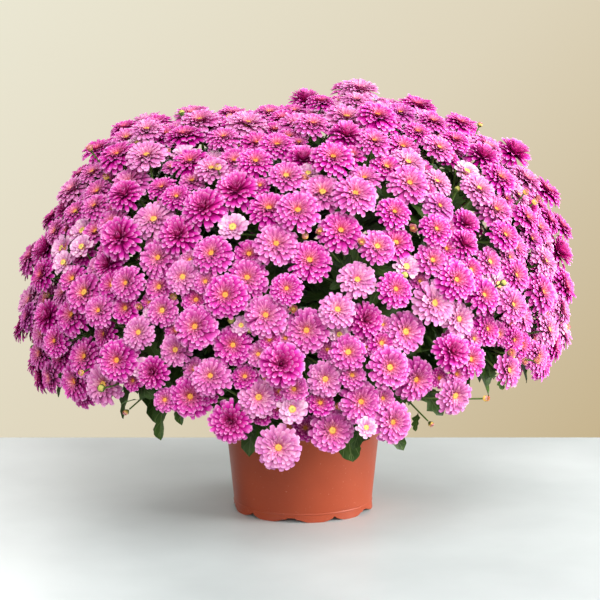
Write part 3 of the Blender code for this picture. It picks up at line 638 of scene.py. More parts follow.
def add_bloom(body, kind, place, facing, radius, rng):
    turn, shift = seat(place, facing, rng.uniform(0, math.tau))
    for faces, points, spots, marks in bloom_petals(kind, radius, rng):
        body.add(moved(points, turn, shift), faces, PETAL, spots, marks.reshape(-1, 3))
    eye, age = KINDS[kind]["eye"], KINDS[kind]["age"]
    if eye > LEAST_EYE:
        add_eye(body, radius * eye * EYE_SPREAD, radius * LIFT, turn, shift, max(age, 0))
    add_calyx(body, radius, turn, shift)


test_body = Body()
add_bloom(test_body, "open", Vector((0, 0, 0)), Vector((0, 0, 1)), 0.02, np.random.default_rng(1))
print("faces of an open bloom", len(test_body.faces))

# %% [markdown]
# ## Leaves
#
# A chrysanthemum leaf is cut into five lobes with blunt teeth, dark green and a little glossy, with pale
# veins. Its width along the rib is read from a few knots, which are those of the frame's leaf, and
# small waves on the edge give the teeth. The blade folds up along its rib and droops towards
# its tip. The veins are only colour and a fine bump, so the finish draws them.

# %% Shape a leaf
LEAF_KNOTS = (
    (0.0, 0.02), (0.14, 0.05), (0.24, 0.20), (0.34, 0.45), (0.40, 0.40), (0.47, 0.22), (0.56, 0.36),
    (0.64, 0.50), (0.70, 0.42), (0.76, 0.22), (0.83, 0.26), (0.90, 0.24), (0.96, 0.13), (1.0, 0.0),
)
LEAF_LENGTH = 0.074
LEAF_WIDTH = 0.042
LEAF_SWEEP = 0.10
TOOTH_DEPTH, TOOTH_RATE = 0.07, 62
LEAF_CURLS = ((0.10, 0.30), (0.15, 0.4), (0.01, 0.03))
BIG_LEAF = (27, 7)


def leaf_points(size, droop, fold, wave, rows, columns):
    """Points and spots of a leaf that grows along +X with its upper side up."""
    share = np.linspace(0, 1, rows)
    knots, widths = np.array(LEAF_KNOTS).T
    width = np.interp(share, knots, widths) * (1 + TOOTH_DEPTH * np.sin(share * TOOTH_RATE))
    across = np.broadcast_to(np.linspace(-1, 1, columns), (rows, columns))
    side = across * width[:, None] * LEAF_WIDTH * size
    along = (share[:, None] + LEAF_SWEEP * (np.abs(across) ** 1.5) * width[:, None]) * LEAF_LENGTH * size
    height = fold * np.abs(side) - droop * LEAF_LENGTH * size * share[:, None] ** 2
    height = height + wave * LEAF_LENGTH * size * np.sin(share[:, None] * 9 + across * 2) * np.abs(across)
    spots = np.stack([across, np.broadcast_to(share[:, None], across.shape), np.zeros(across.shape)], axis=-1)
    return np.stack([along, side, height], axis=-1), spots


def leaf_seat(place, ahead, upper):
    """The turn and shift that carry a leaf's +X to ahead and its upper side towards upper."""
    ahead = ahead.normalized()
    across = upper.cross(ahead).normalized()
    turn = np.array(Matrix((ahead, across, ahead.cross(across))).transposed())
    return turn, np.array(place)


# sunny is painted sunlight: the share by which the finish paints this leaf and its veins in lighter, sunlit
# greens.
def add_leaf(body, place, ahead, upper, size, rng, grid, sunny=0.0):
    """A leaf on a grid of rows and columns that droops, folds and waves by chance."""
    droop, fold, wave = (rng.uniform(*ends) for ends in LEAF_CURLS)
    points, spots = leaf_points(size, droop, fold, wave, *grid)
    spots[..., 2] = rng.random()
    turn, shift = leaf_seat(place, ahead, upper)
    body.add(moved(points, turn, shift), grid_faces(*grid, 1), LEAF, spots, (sunny, 0, 0))


print("faces of a large leaf", len(grid_faces(*BIG_LEAF, 1)))

# %% [markdown]
# ## Petal, eye and green finishes
#
# The petals' colour is the plant's whole character, so it is built from what was painted on the mesh.
# Along a petal the pink goes from a deep root to a pale tip. The deep root is partly the petal's own colour
# and partly painted shade where inner petals cover it, and the pale tip is partly the real paler tip and
# partly a painted highlight. The two sides of a petal are darker, a painted shade for the creases between
# petals, which is what draws the petals apart. Young blooms are pale with a peach root, closed ones are
# deepest in the middle, old ones turn mauve. Fine streaks run along each petal, and every petal has a tint
# of its own. No picture is needed for any of this.

# %% Make the petal finish
# The grown petals deepen towards the root. This is partly the petal's own colour and partly painted shade
# where the inner petals cover the roots.
GROWN_TONES_AND_ROOT_SHADE = ((0.0, 98, 0, 66), (0.50, 190, 0, 142), (0.92, 234, 10, 188))
PALE_TONES = ((0.0, 248, 214, 140), (0.40, 245, 178, 218), (1.0, 253, 224, 238))
OLD_TONES = ((0.0, 150, 40, 112), (0.5, 190, 80, 170), (1.0, 216, 130, 206))
PEACH_TONES = ((0.0, 196, 190, 90), (0.5, 250, 206, 130), (1.0, 250, 178, 150))
INNER_TONES = ((0.0, 252, 206, 96), (0.50, 250, 160, 132), (1.0, 252, 168, 212))
HEART_TONES = ((0.0, 224, 36, 146), (0.60, 236, 40, 166), (1.0, 250, 104, 206))
# The tip tone is partly the real paler tip of a petal and partly a painted highlight.
PALE_TIP_AND_HIGHLIGHT_TONE = (255, 200, 240)
# The crease tint is painted shade, multiplied into the sides of each petal where the creases between petals
# lie.
CREASE_SHADE_TINT = (0.64, 0.10, 0.60, 1)
STREAK_TINTS = [(0.30, (0.84, 0.70, 0.84, 1)), (0.70, (1.04, 1.06, 1.04, 1))]
OWN_TINTS = [(0.0, (0.84, 0.56, 0.80, 1)), (1.0, (1.10, 1.20, 1.08, 1))]


def petal_finish():
    finish = Finish("petal_pink", 0.60, 0.10)
    across, along, own = finish.painted("spot")
    depth, age, fade = finish.painted("mark")
    inner_share = finish.sum("POWER", depth, 3.0)
    colour = finish.blend(inner_share, finish.tones(along, *GROWN_TONES_AND_ROOT_SHADE), finish.tones(along, *INNER_TONES))
    closed = finish.sum("MAXIMUM", finish.times(age, -1.0))
    heart_share = finish.times(closed, finish.sum("POWER", depth, 1.5))
    peach_share = finish.times(fade, -1.0)
    for share, stops in ((heart_share, HEART_TONES), (fade, OLD_TONES), (age, PALE_TONES),
                         (peach_share, PEACH_TONES)):
        colour = finish.blend(share, colour, finish.tones(along, *stops))
    # Painted shade: the sides of each petal are darkened, less towards the tip and on young blooms and buds,
    # for the shadow in the creases between petals.
    sides = finish.sum("POWER", finish.sum("ABSOLUTE", across), 2.0)
    before_tip = finish.sum("SUBTRACT", 1.0, finish.sum("POWER", along, 5.0))
    unripe = finish.sum("MAXIMUM", finish.times(fade, -0.9), finish.times(age, 0.6))
    ripe = finish.sum("SUBTRACT", 1.0, finish.sum("MAXIMUM", unripe))
    painted_crease_shade = finish.times(finish.times(sides, before_tip), ripe)
    colour = finish.blend(painted_crease_shade, colour, finish.blend(1.0, colour, CREASE_SHADE_TINT, "MULTIPLY"))
    # Painted highlight: the last part of each petal blends to a near-white pink, which is partly the real
    # paler tip.
    tip = finish.times(finish.sum("POWER", along, 14.0), 0.92)
    colour = finish.blend(tip, colour, light(*PALE_TIP_AND_HIGHLIGHT_TONE))
    grain = finish.joined(finish.times(across, 3.0), along, finish.times(own, 40.0))
    streaks = finish.noise(grain, 2.0)
    for value, stops in ((streaks, STREAK_TINTS), (own, OWN_TINTS)):
        colour = finish.blend(1.0, colour, finish.ramp(value, stops), "MULTIPLY")
    finish.bump(streaks, 0.35, 0.0006)
    return finish.coloured(colour)


spray_finishes = [petal_finish()]
print("nodes of the petal finish", len(spray_finishes[0].node_tree.nodes))

# %% Make the eye finish
def eye_finish():
    finish = Finish("floret_yellow", 0.65)
    along, age = finish.painted("spot")[1], finish.painted("mark")[1]
    ripe = finish.tones(along, (0.0, 238, 150, 84), (0.5, 246, 184, 80), (1.0, 232, 146, 56))
    young = finish.tones(along, (0.0, 240, 190, 90), (0.6, 250, 222, 110), (1.0, 170, 178, 92))
    finish.bump(finish.noise(finish.place(), 900.0, 2.0), 0.5, 0.0006)
    return finish.coloured(finish.blend(age, ripe, young))


spray_finishes.append(eye_finish())
print("nodes of the eye finish", len(spray_finishes[1].node_tree.nodes))

# %% Make the stalk and leaf finishes
OWN_GREENS = [(0.0, (0.60, 0.68, 0.62, 1)), (1.0, (1.35, 1.30, 1.0, 1))]


def stalk_finish():
    finish = Finish("stalk_green", 0.5)
    colour = finish.tones(finish.noise(finish.place(), 60.0), (0.3, 70, 98, 38), (0.7, 108, 138, 60))
    finish.bump(finish.noise(finish.place(), 1200.0, 2.0), 0.2, 0.0004)
    return finish.coloured(colour)


# Painted light: leaves with a higher sunny share get lighter greens and veins, as painted sunlight on the
# leaves at the outside of the bush. The others keep the darker greens of leaves in shade.
def leaf_finish():
    finish = Finish("leaf_green", 0.44, 0.30)
    across, along, own = finish.painted("spot")
    sunny = finish.painted("mark")[0]
    apart = finish.sum("ABSOLUTE", across)
    slant = finish.sum("SUBTRACT", finish.times(along, 44.0), finish.times(apart, 8.0))
    rib = finish.greys(apart, (0.0, 1), (0.10, 0))
    vein = finish.greys(finish.sum("SINE", slant), (0.90, 0), (0.985, 0.7))
    lines = finish.blend(1.0, rib, vein, "LIGHTEN")
    mottle = finish.noise(finish.place(), 70.0)
    shaded = finish.tones(mottle, (0.3, 34, 56, 20), (0.7, 64, 96, 34))
    shaded = finish.blend(1.0, shaded, finish.ramp(own, OWN_GREENS), "MULTIPLY")
    ground = finish.blend(sunny, shaded, finish.tones(mottle, (0.3, 58, 92, 34), (0.7, 92, 128, 50)))
    veins = finish.blend(sunny, light(84, 108, 56), light(136, 160, 90))
    finish.bump(lines, 0.25, 0.0005)
    return finish.coloured(finish.blend(lines, ground, veins))


spray_finishes += [stalk_finish(), leaf_finish()]
print("finishes", [finish.name for finish in spray_finishes])

# %% [markdown]
# ## Late blooms and buds
#
# Below the grown blooms the plant pushes a second row of smaller ones, which fill the gaps, and round or
# half-open buds between them. Directions spread evenly round the heart of the bush find the gaps:
# each knows how far it passes beside the nearest bloom. The widest gap gets the next bloom,
# which closes its surroundings to the rest. A fixed seed picks the same spots every time. Last, a
# few small blooms on the low front and four buds on the outline are listed one by one.

# %% Measure how open each direction is
BLOOM_SWELL = 1.06
LARGEST_BLOOM = 0.0242
DIRECTIONS = 9000
LOWEST_DIRECTION = -0.34
BLOOM_COVER = 0.92


def shown_radius(radius):
    """The radius of a bloom's petal tips, a little past the frame's star as petals spread."""
    return min(radius * BLOOM_SWELL, LARGEST_BLOOM)


def directions_round():
    """Directions spread evenly over the bush by the golden angle, as seen from its heart."""
    height = np.linspace(LOWEST_DIRECTION, 1, DIRECTIONS)
    turn = np.arange(DIRECTIONS) * GOLDEN_ANGLE
    flat = np.sqrt(1 - height ** 2)
    return np.stack([flat * np.cos(turn), flat * np.sin(turn), height], axis=-1)


def clearance(ways, place, radius):
    """How far each direction passes beside a bloom's rim, at the bloom's own distance."""
    reach = np.array(place) - HEART_PLACE
    return np.linalg.norm(ways * np.linalg.norm(reach) - reach, axis=1) - radius * BLOOM_COVER


def open_share(room):
    return round(float((room > 0).mean()), 3)


ways_round = directions_round()
open_room = np.full(DIRECTIONS, 1.0)
for place, _, radius in all_blooms:
    open_room = np.minimum(open_room, clearance(ways_round, place, shown_radius(radius)))
print("share of gaps before", open_share(open_room))

# %% Fill the gaps
LATE_BLOOMS, LATE_BUDS, PROUD_BUDS = 285, 80, 22
LATE_RADIUS, BUD_RADIUS = (0.0120, 0.0190), (0.0034, 0.0050)
BLOOM_SINK, BUD_SINK, PROUD_SINK = (0.004, 0.014), (-0.002, 0.008), (-0.022, -0.012)
PROUD_ROOM = 0.012
LEAST_ROOM = -0.004
ROOM_GAIN = 0.010
SIZE_SPREAD = (0.88, 1.05)
LEFT_OPEN = 0.42
OPEN_REACH = 0.024
LATE_LOWEST = 0.155
LOW_BLOOM = 0.205
LATE_DROP = 0.006
NEAR_BLOOMS = 3

owners = [name for name, (blooms, _) in sprays.items() for _ in blooms]
bloom_facings = np.array([tuple(facing) for _, facing, _ in all_blooms])
bloom_reach = np.linalg.norm(bloom_places - HEART_PLACE, axis=1)
bloom_ways = (bloom_places - HEART_PLACE) / bloom_reach[:, None]
gap_rng = np.random.default_rng(SEED)


def nearest_blooms(way):
    """The blooms that lie nearest to a direction from the heart."""
    return np.argsort(-(bloom_ways @ way))[:NEAR_BLOOMS]


def gap_spots(wanted, sizes, sink, room):
    """Late growth in the widest gaps first: its spray, place, facing and radius. Some gaps stay open."""
    found = []
    while len(found) < wanted and room.max() > LEAST_ROOM:
        best = int(room.argmax())
        way = ways_round[best]
        near = nearest_blooms(way)
        size = float(np.clip(room[best] + ROOM_GAIN, *sizes) * gap_rng.uniform(*SIZE_SPREAD))
        spot = Vector(HEART_PLACE + way * (bloom_reach[near].mean() - gap_rng.uniform(*sink)))
        facing = Vector(bloom_facings[near].mean(axis=0)).normalized()
        if spot.z < max(LATE_LOWEST, min(bloom_places[near[0], 2], LOW_BLOOM) - LATE_DROP):
            room[best] = -1
        elif gap_rng.random() < LEFT_OPEN:
            room = np.minimum(room, clearance(ways_round, spot, OPEN_REACH))
        else:
            found.append((owners[near[0]], spot, facing, size))
            room = np.minimum(room, clearance(ways_round, spot, size))
    return found, room


late_blooms, open_room = gap_spots(LATE_BLOOMS, LATE_RADIUS, BLOOM_SINK, open_room)
late_buds, _ = gap_spots(LATE_BUDS, BUD_RADIUS, BUD_SINK, open_room.copy())
late_buds += gap_spots(PROUD_BUDS, BUD_RADIUS, PROUD_SINK, open_room + PROUD_ROOM)[0]
print("late blooms", len(late_blooms), "buds", len(late_buds), "gaps", open_share(open_room))

# %% Place a few listed ones
UPTURN = Vector((0.0, 0.0, 0.45))
HAND_PLACED = [
    ((0.012, -0.200, 0.136), 0.0150, "late"), ((0.073, -0.312, 0.160), 0.0118, "young"),
    ((0.027, -0.290, 0.181), 0.0155, "late"), ((0.059, -0.295, 0.210), 0.0155, "late"),
    ((-0.089, -0.285, 0.192), 0.0155, "late"), ((-0.032, -0.285, 0.168), 0.0120, "late"),
    ((-0.049, -0.296, 0.209), 0.0150, "late"),
    ((-0.247, 0.0, 0.389), 0.0060, "tight"), ((-0.2995, 0.0, 0.193), 0.0060, "tight"),
    ((0.2155, 0.0, 0.453), 0.0060, "tight"), ((0.275, 0.0, 0.180), 0.0060, "opening"),
]


def nearest_spray(place):
    """The spray that carries the bloom nearest to a place."""
    return owners[int(np.linalg.norm(bloom_places - np.array(place), axis=1).argmin())]


placed = []
for place, radius, kind in HAND_PLACED:
    facing = ((Vector(place) - HEART).normalized() + UPTURN).normalized()
    placed.append((nearest_spray(place), Vector(place), facing, radius, kind))
print("placed by hand", len(placed))

# %% [markdown]
# ## Growing the sprays
#
# A spray is a stalk that forks again and again, with a bloom at the end of each arm. Each arm leaves the
# leading stalk in its direction, bends, and meets its bloom square to its cup, which is what
# makes it look grown. A small leaf on each arm helps to fill the inside of the bush with green.

# %% Shape the arms and round buds
STALK_SIDES = 6
ARM_POINTS = 6
ARM_SIDES = 5
ARM_RADIUS = 0.0012
ARM_TAPER = 1.15
ARM_ROOT = 0.004
ARM_SPACING = 0.0035
ARM_START, ARM_END = 0.22, 0.24
ARM_LEAF = (9, 3)
ARM_LEAF_SIZES, ARM_LEAF_TILTS = (0.40, 0.66), (0.2, 0.6)
BUD_SIDES = 9
BUD_ROOT = 0.0008
BUD_CUP = np.array([[0.70, -0.72], [1.02, -0.10], [0.93, 0.30]])
BUD_CAP = np.array([[0.90, 0.05], [0.80, 0.50], [0.45, 0.80], [0.01, 0.84]])
BUD_CUP_PLEAT, BUD_CAP_PLEAT, BUD_POINTS = 0.93, 0.86, 0.25
BUD_CAP_SPOT = 0.9


def sideways(axis, turn):
    """A direction square to an axis, turned about it."""
    return Matrix.Rotation(turn, 3, axis) @ axis.orthogonal().normalized()


def add_stalk(body, path, radii, sides):
    body.add(tube(path, radii, sides), ring_faces(len(path), sides), GREEN)


def add_arm(body, fork, ahead, rank, end, facing, radius, rng):
    """A stalk from the leading stalk to the foot of a bloom, with a small leaf on it."""
    start = fork + ahead * (ARM_ROOT + ARM_SPACING * rank)
    length = (end - start).length
    leaving, meeting = start + ahead * ARM_START * length, end - facing * ARM_END * length
    path = bezier(start, leaving, meeting, end, ARM_POINTS)
    add_stalk(body, path, radius * np.linspace(ARM_TAPER, 1.0, ARM_POINTS), ARM_SIDES)
    spot = Vector(path[rng.integers(1, ARM_POINTS - 2)])
    leaf_way = sideways(ahead, rng.uniform(0, math.tau)) + ahead * rng.uniform(*ARM_LEAF_TILTS)
    add_leaf(body, spot, leaf_way, ahead, rng.uniform(*ARM_LEAF_SIZES), rng, ARM_LEAF)


def add_round_bud(body, place, facing, radius, rng):
    """A round bud: green bracts round a blunt cap of yet closed petals."""
    turn, shift = seat(place, facing, rng.uniform(0, math.tau))
    cup = turned([(BUD_ROOT, -radius), *(BUD_CUP * radius)], BUD_SIDES)
    cup[2:, ::2, :2] *= BUD_CUP_PLEAT
    cup[3, ::2, 2] += BUD_POINTS * radius
    cap = turned(BUD_CAP * radius, BUD_SIDES)
    cap[1:3, ::2, :2] *= BUD_CAP_PLEAT
    faces = ring_faces(len(cup), BUD_SIDES)
    body.add(moved(cup, turn, shift), faces, GREEN, None, (0, 1, 0))
    body.add(moved(cap, turn, shift), faces, EYE, np.full(cap.shape, BUD_CAP_SPOT), (0, 1, 0))


print("faces of an arm", len(ring_faces(ARM_POINTS, ARM_SIDES)), "its leaf", len(grid_faces(*ARM_LEAF, 1)))

# %% Grow every spray
LATE_KINDS = {"late": 0.83, "young": 0.14, "faded": 0.03}
BUD_KINDS = {"round": 0.30, "opening": 0.42, "tight": 0.28}
YOUNG_RADIUS, YOUNG_SHARE = 0.0165, 0.5
LATE_ARM, BUD_ARM = 0.9, 0.8
ROUND_BUD, OPEN_BUD = 0.85, 1.5
TRUNK_BACK, TRUNK_AHEAD, TRUNK_PAST = 0.004, 0.01, 0.008
TRUNK_POINTS = 4
TRUNK_RADII = (0.0021, 0.0013)


def drawn(shares, rng):
    """One of the names, drawn by its share."""
    return str(rng.choice(list(shares), p=list(shares.values())))


def of_spray(name, growth):
    return [rest for owner, *rest in growth if owner == name]


def grow_spray(name, number):
    rng = np.random.default_rng(SEED * SPRAY_SEED + number)
    blooms, fork = sprays[name]
    middle = sum((place for place, _, _ in blooms), Vector()) / len(blooms)
    ahead = (middle - fork).normalized()
    body = Body()
    order = sorted(blooms, key=lambda bloom: ahead.dot((bloom[0] - fork).normalized()))

    def late_arm(foot, facing, share):
        """A thinner arm, which may leave the leading stalk at any height."""
        add_arm(body, fork, ahead, rng.integers(0, len(order)), foot, facing, ARM_RADIUS * share, rng)

    for rank, (place, facing, radius) in enumerate(order):
        shown = shown_radius(radius)
        young = radius < YOUNG_RADIUS and rng.random() < YOUNG_SHARE
        add_bloom(body, "young" if young else drawn(KIND_SHARES, rng), place, facing, shown, rng)
        add_arm(body, fork, ahead, rank, place - facing * CALYX_DEPTH * shown, facing, ARM_RADIUS, rng)
    for place, facing, radius in of_spray(name, late_blooms):
        add_bloom(body, drawn(LATE_KINDS, rng), place, facing, radius, rng)
        late_arm(place - facing * CALYX_DEPTH * radius, facing, LATE_ARM)
    for place, facing, radius, kind in of_spray(name, placed):
        add_bloom(body, kind, place, facing, radius, rng)
        late_arm(place - facing * CALYX_DEPTH * radius, facing, BUD_ARM)
    for place, facing, radius in of_spray(name, late_buds):
        kind = drawn(BUD_KINDS, rng)
        if kind == "round":
            add_round_bud(body, place, facing, radius * ROUND_BUD, rng)
            late_arm(place - facing * radius * ROUND_BUD, facing, BUD_ARM)
        else:
            add_bloom(body, kind, place, facing, radius * OPEN_BUD, rng)
            late_arm(place - facing * CALYX_DEPTH * radius * OPEN_BUD, facing, BUD_ARM)
    tip = fork + ahead * (TRUNK_PAST + ARM_SPACING * len(order))
    trunk = bezier(fork - ahead * TRUNK_BACK, fork, fork + ahead * TRUNK_AHEAD, tip, TRUNK_POINTS)
    add_stalk(body, trunk, np.linspace(*TRUNK_RADII, TRUNK_POINTS), STALK_SIDES)
    return body.finished(f"{name}_bloom_spray", spray_finishes, name)


grown_sprays = [grow_spray(name, number) for number, name in enumerate(spray_names)]
print("spray faces", sum(len(item.data.polygons) for item in grown_sprays))

# %% [markdown]
# ## Reading the big leaves from the frame
#
# The frame's leafy stems carry their largest leaves. Each is a thin blade whose middle point is joined to
# all points of its edge, on both faces. The farthest of those is the tip, which gives the
# leaf's direction and length, and the blade's own facing tells which side is up.

# %% Find the leaves of a stem
LEAF_EDGE_POINTS = 9
BLADE_TWIN = 0.0013
LEAF_SHORTEST = 0.020


def read_leaves(name):
    """The middle, tip and facing of each leaf of a leafy stem."""
    bm = welded(name)
    bm.normal_update()
    hubs = [v for v in bm.verts if len(v.link_edges) >= LEAF_EDGE_POINTS]
    found, used = [], set()
    for hub in hubs:
        twins = [o for o in hubs if o is not hub and (o.co - hub.co).length < BLADE_TWIN]
        if not twins or hub.index in used:
            continue
        used.update(t.index for t in twins)
        edge = [e.other_vert(hub).co for e in hub.link_edges]
        tip = max(edge, key=lambda p: (p - hub.co).length)
        reach = (tip - hub.co).length
        if reach > LEAF_SHORTEST:
            facing = hub.normal if hub.normal.z > 0 else -hub.normal
            found.append((hub.co.copy(), tip.copy(), facing.copy()))
    bm.free()
    return found


stem_names = sorted(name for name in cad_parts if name.startswith("leafy_stem_"))
big_leaves = {name: read_leaves(name) for name in stem_names}
print("big leaves", {name: len(found) for name, found in big_leaves.items()})

# %% [markdown]
# ## Leafy stems
#
# Seven stems rise from the soil, one in the middle and six round it. From each, a branch bends out to every
# fork where a spray begins. The stems are read from the forks by the same rule that placed
# them: a fork belongs to the stem of its sixth of the circle, or to the middle one near the
# top. Leaves stand in a spiral on the outer three quarters of each branch, and darken the
# inside of the bush as they do on the real plant.

# %% Rules that the stems follow
POT_AXIS = Vector((0.010, 0.0, 0.0))
STEM_RING = 0.036
STEM_RADIUS = 0.0036
BRANCH_RADIUS = 0.0019
OUTER_STEMS = 6
CROWN_RADIUS = 0.085
DOME_MIDDLE = 0.235
SOIL_TOP = 0.109
STEM_FOOT = 0.061
FIRST_BRANCH = 0.50
BRANCH_REACH = 0.45


def stem_number(fork):
    if math.hypot(fork.x, fork.y) < CROWN_RADIUS and fork.z > DOME_MIDDLE:
        return 0
    turn = (math.atan2(fork.y, fork.x) + math.pi / OUTER_STEMS) % math.tau
    return int(turn / (math.tau / OUTER_STEMS)) + 1


def stem_base(number):
    if number == 0:
        return POT_AXIS.copy()
    turn = (number - 1) * math.tau / OUTER_STEMS
    return POT_AXIS + STEM_RING * Vector((math.cos(turn), math.sin(turn), 0))


def curve(start, control, end, count):
    share = np.linspace(0, 1, count)[:, None]
    a, b, c = np.array(start), np.array(control), np.array(end)
    return a * (1 - share) ** 2 + b * 2 * share * (1 - share) + c * share ** 2


forks_of = {number: [] for number in range(OUTER_STEMS + 1)}
for _, fork in sprays.values():
    forks_of[stem_number(fork)].append(fork)
print("branches of each stem", {number: len(found) for number, found in forks_of.items()})

# %% Shape a branch
UP = Vector((0, 0, 1))
BRANCH_POINTS = 9
BRANCH_TAPER = 1.25
LEAVES_ON_BRANCH = 21
BRANCH_LEAF = (9, 5)
BRANCH_LEAF_SIZES, BRANCH_LEAF_TILTS = (0.55, 0.90), (0.35, 0.9)
BRANCH_LEAF_FACING = 0.5
FIRST_LEAF, LAST_LEAF, LEAF_JITTER = 0.25, 0.99, 0.8


def point_along(path, share):
    """The point at a share of a path's length."""
    run = np.linalg.norm(np.diff(path, axis=0), axis=1)
    reach = np.concatenate([[0], np.cumsum(run)]) / run.sum()
    return Vector([np.interp(share, reach, path[:, axis]) for axis in range(3)])


def add_branch(body, stem, rank, total, fork, rng):
    """A branch from a stem to the fork of a spray, with leaves in a spiral along it."""
    start = point_along(stem, FIRST_BRANCH + (1 - FIRST_BRANCH) * rank / max(total - 1, 1))
    outward = (fork - HEART).normalized()
    control = fork - outward * BRANCH_REACH * (fork - start).length
    path = curve(start, control, fork, BRANCH_POINTS)
    add_stalk(body, path, np.linspace(BRANCH_TAPER, 1.0, BRANCH_POINTS) * BRANCH_RADIUS, STALK_SIDES)
    for k in range(LEAVES_ON_BRANCH):
        share = FIRST_LEAF + (1 - FIRST_LEAF) * (k + rng.uniform(0, LEAF_JITTER)) / LEAVES_ON_BRANCH
        spot = point_along(path, min(share, LAST_LEAF))
        ahead = sideways(outward, k * GOLDEN_ANGLE + rank) + outward * rng.uniform(*BRANCH_LEAF_TILTS)
        upper = UP + outward * BRANCH_LEAF_FACING
        add_leaf(body, spot, ahead, upper, rng.uniform(*BRANCH_LEAF_SIZES), rng, BRANCH_LEAF)


print("leaves on all branches", LEAVES_ON_BRANCH * len(sprays))

# %% Shape a side shoot
SPRIGS = {
    "leafy_stem_7": [((0.090, -0.140, 0.195), (0.120, -0.186, 0.166), (0.144, -0.200, 0.144))],
    "leafy_stem_6": [((-0.110, -0.150, 0.205), (-0.150, -0.190, 0.180), (-0.176, -0.206, 0.158))],
    "leafy_stem_2": [((0.190, 0.060, 0.180), (0.235, 0.070, 0.160), (0.262, 0.074, 0.142))],
    "leafy_stem_4": [((-0.090, 0.170, 0.190), (-0.110, 0.230, 0.175), (-0.118, 0.256, 0.156))],
}
SPRIG_TAPER = (1.1, 0.7)
SPRIG_LEAF = (13, 5)
# SPRIG_SUN is the share of painted sunlight on the small leaves of the side shoots.
SPRIG_LEAF_SIZE, SPRIG_LEAF_TILT, SPRIG_LEAF_FACING, SPRIG_SUN = 0.30, 0.7, 0.3, 0.9
SPRIG_BUD, SPRIG_BUD_SEAT = 0.0058, 0.004


def add_sprig(body, points, rng):
    """A thin side shoot with small leaves and a cream bud, from a branch out past the blooms."""
    path = curve(*points, ARM_POINTS)
    add_stalk(body, path, np.linspace(*SPRIG_TAPER, ARM_POINTS) * ARM_RADIUS, STALK_SIDES)
    facing = Vector(path[-1] - path[-2]).normalized()
    upper = UP - facing * SPRIG_LEAF_FACING
    for k in range(1, ARM_POINTS - 1):
        ahead = sideways(facing, k * GOLDEN_ANGLE) + facing * SPRIG_LEAF_TILT
        add_leaf(body, Vector(path[k]), ahead, upper, SPRIG_LEAF_SIZE, rng, SPRIG_LEAF, SPRIG_SUN)
    add_bloom(body, "tight", Vector(path[-1]) + facing * SPRIG_BUD_SEAT, facing, SPRIG_BUD, rng)


print("side shoots", len(SPRIGS))

# %% Grow the stems and their leaves
LEAF_TUCK = 0.014
LEAF_BACK = 1.02
# Painted sunlight on the big leaves: those at the hem are painted lighter than those among the blooms.
UPPER_SUN, LOWER_SUN = 0.30, 0.75
STEM_POINTS = 10
STEM_SIDES = 8
STEM_TAPER = (1.1, 0.72)
STRAIGHT = 0.030
MIDDLE_REACH, OUTER_REACH = 0.62, 0.40


def tucked(tip):
    """How far a big leaf's tip is drawn in, so that it lies among the blooms and not over them."""
    way = (tip - HEART).normalized()
    near = nearest_blooms(np.array(way))
    over = (tip - HEART).length - float(bloom_reach[near].mean()) + LEAF_TUCK
    return -way * max(over, 0.0) if tip.z > LOW_BLOOM else Vector()


def stem_path(number, forks):
    """The part of a stem in the soil, and the part above it that bends towards its forks."""
    base = stem_base(number)
    mean = sum(forks, Vector()) / len(forks)
    top = HEART + (mean - HEART) * (MIDDLE_REACH if number == 0 else OUTER_REACH)
    rise = Vector((base.x, base.y, SOIL_TOP + STRAIGHT))
    foot = np.array([[base.x, base.y, STEM_FOOT], [base.x, base.y, SOIL_TOP]])
    return foot, curve(rise, Vector((base.x, base.y, rise.z + STRAIGHT)), top, STEM_POINTS)


def grow_stem(name, number):
    rng = np.random.default_rng(SEED * STEM_SEED + number)
    forks = sorted(forks_of[number], key=lambda fork: fork.z)
    foot, upper = stem_path(number, forks)
    path = np.concatenate([foot, upper])
    body = Body()
    add_stalk(body, path, np.linspace(*STEM_TAPER, len(path)) * STEM_RADIUS, STEM_SIDES)
    for rank, fork in enumerate(forks):
        add_branch(body, upper, rank, len(forks), fork, rng)
    for middle, tip, facing in big_leaves[name]:
        foot_spot = middle - (tip - middle) * LEAF_BACK
        tip = tip + tucked(tip)
        size = (tip - foot_spot).length / LEAF_LENGTH
        sunny = UPPER_SUN if tip.z > LOW_BLOOM else LOWER_SUN
        add_leaf(body, foot_spot, tip - foot_spot, facing, size, rng, BIG_LEAF, sunny)
    for points in SPRIGS.get(name, []):
        add_sprig(body, points, rng)
    return body.finished(f"{name}_grown", spray_finishes, name)


grown_stems = [grow_stem(name, number) for number, name in enumerate(stem_names)]
print("stem faces", sum(len(item.data.polygons) for item in grown_stems))

# %% [markdown]
# ## The pot
#
# A grower's pot is one thin moulding of terracotta-coloured plastic: a tapered wall with a plain rim band, a
# floor set up a little, and a thin flared skirt to stand on. The skirt's edge is cut
# alternately into wide arches and narrow notches, so that water can run out. The pot is a
# turned profile with so many sides that the cuts can be made by lifting the lowest points.

# %% Draw the pot's profile
POT_HEIGHT = 0.120
RIM_RADIUS = 0.0935
FOOT_RADIUS = 0.0812
WALL = 0.0024
RIM_BAND = 0.006
RIM_STEP = 0.0016
SKIRT_HEIGHT = 0.0085
SKIRT_FLARE = 0.0018
FLOOR_THICK = 0.0030
POT_SIDES = 280
SKIRT_THIN = 0.6
SKIRT_EDGE = ((0.0, 0.0002), (-0.0003, 0.0))
RIDGE = ((0.0008, 0.0012), (0.0008, 0.0004), (0.0001, 0.0))
BAND_FOOT = ((RIM_STEP, 0.0012), (0.0002, 0.0))
BAND_GAP, RIDGE_GAP = 0.002, 0.0022
EDGE = 0.0006
FILLET = 0.002
NEAR_AXIS = 0.001
WALL_RINGS = 7


def wall_radius(height):
    return FOOT_RADIUS + (RIM_RADIUS - FOOT_RADIUS) * height / POT_HEIGHT


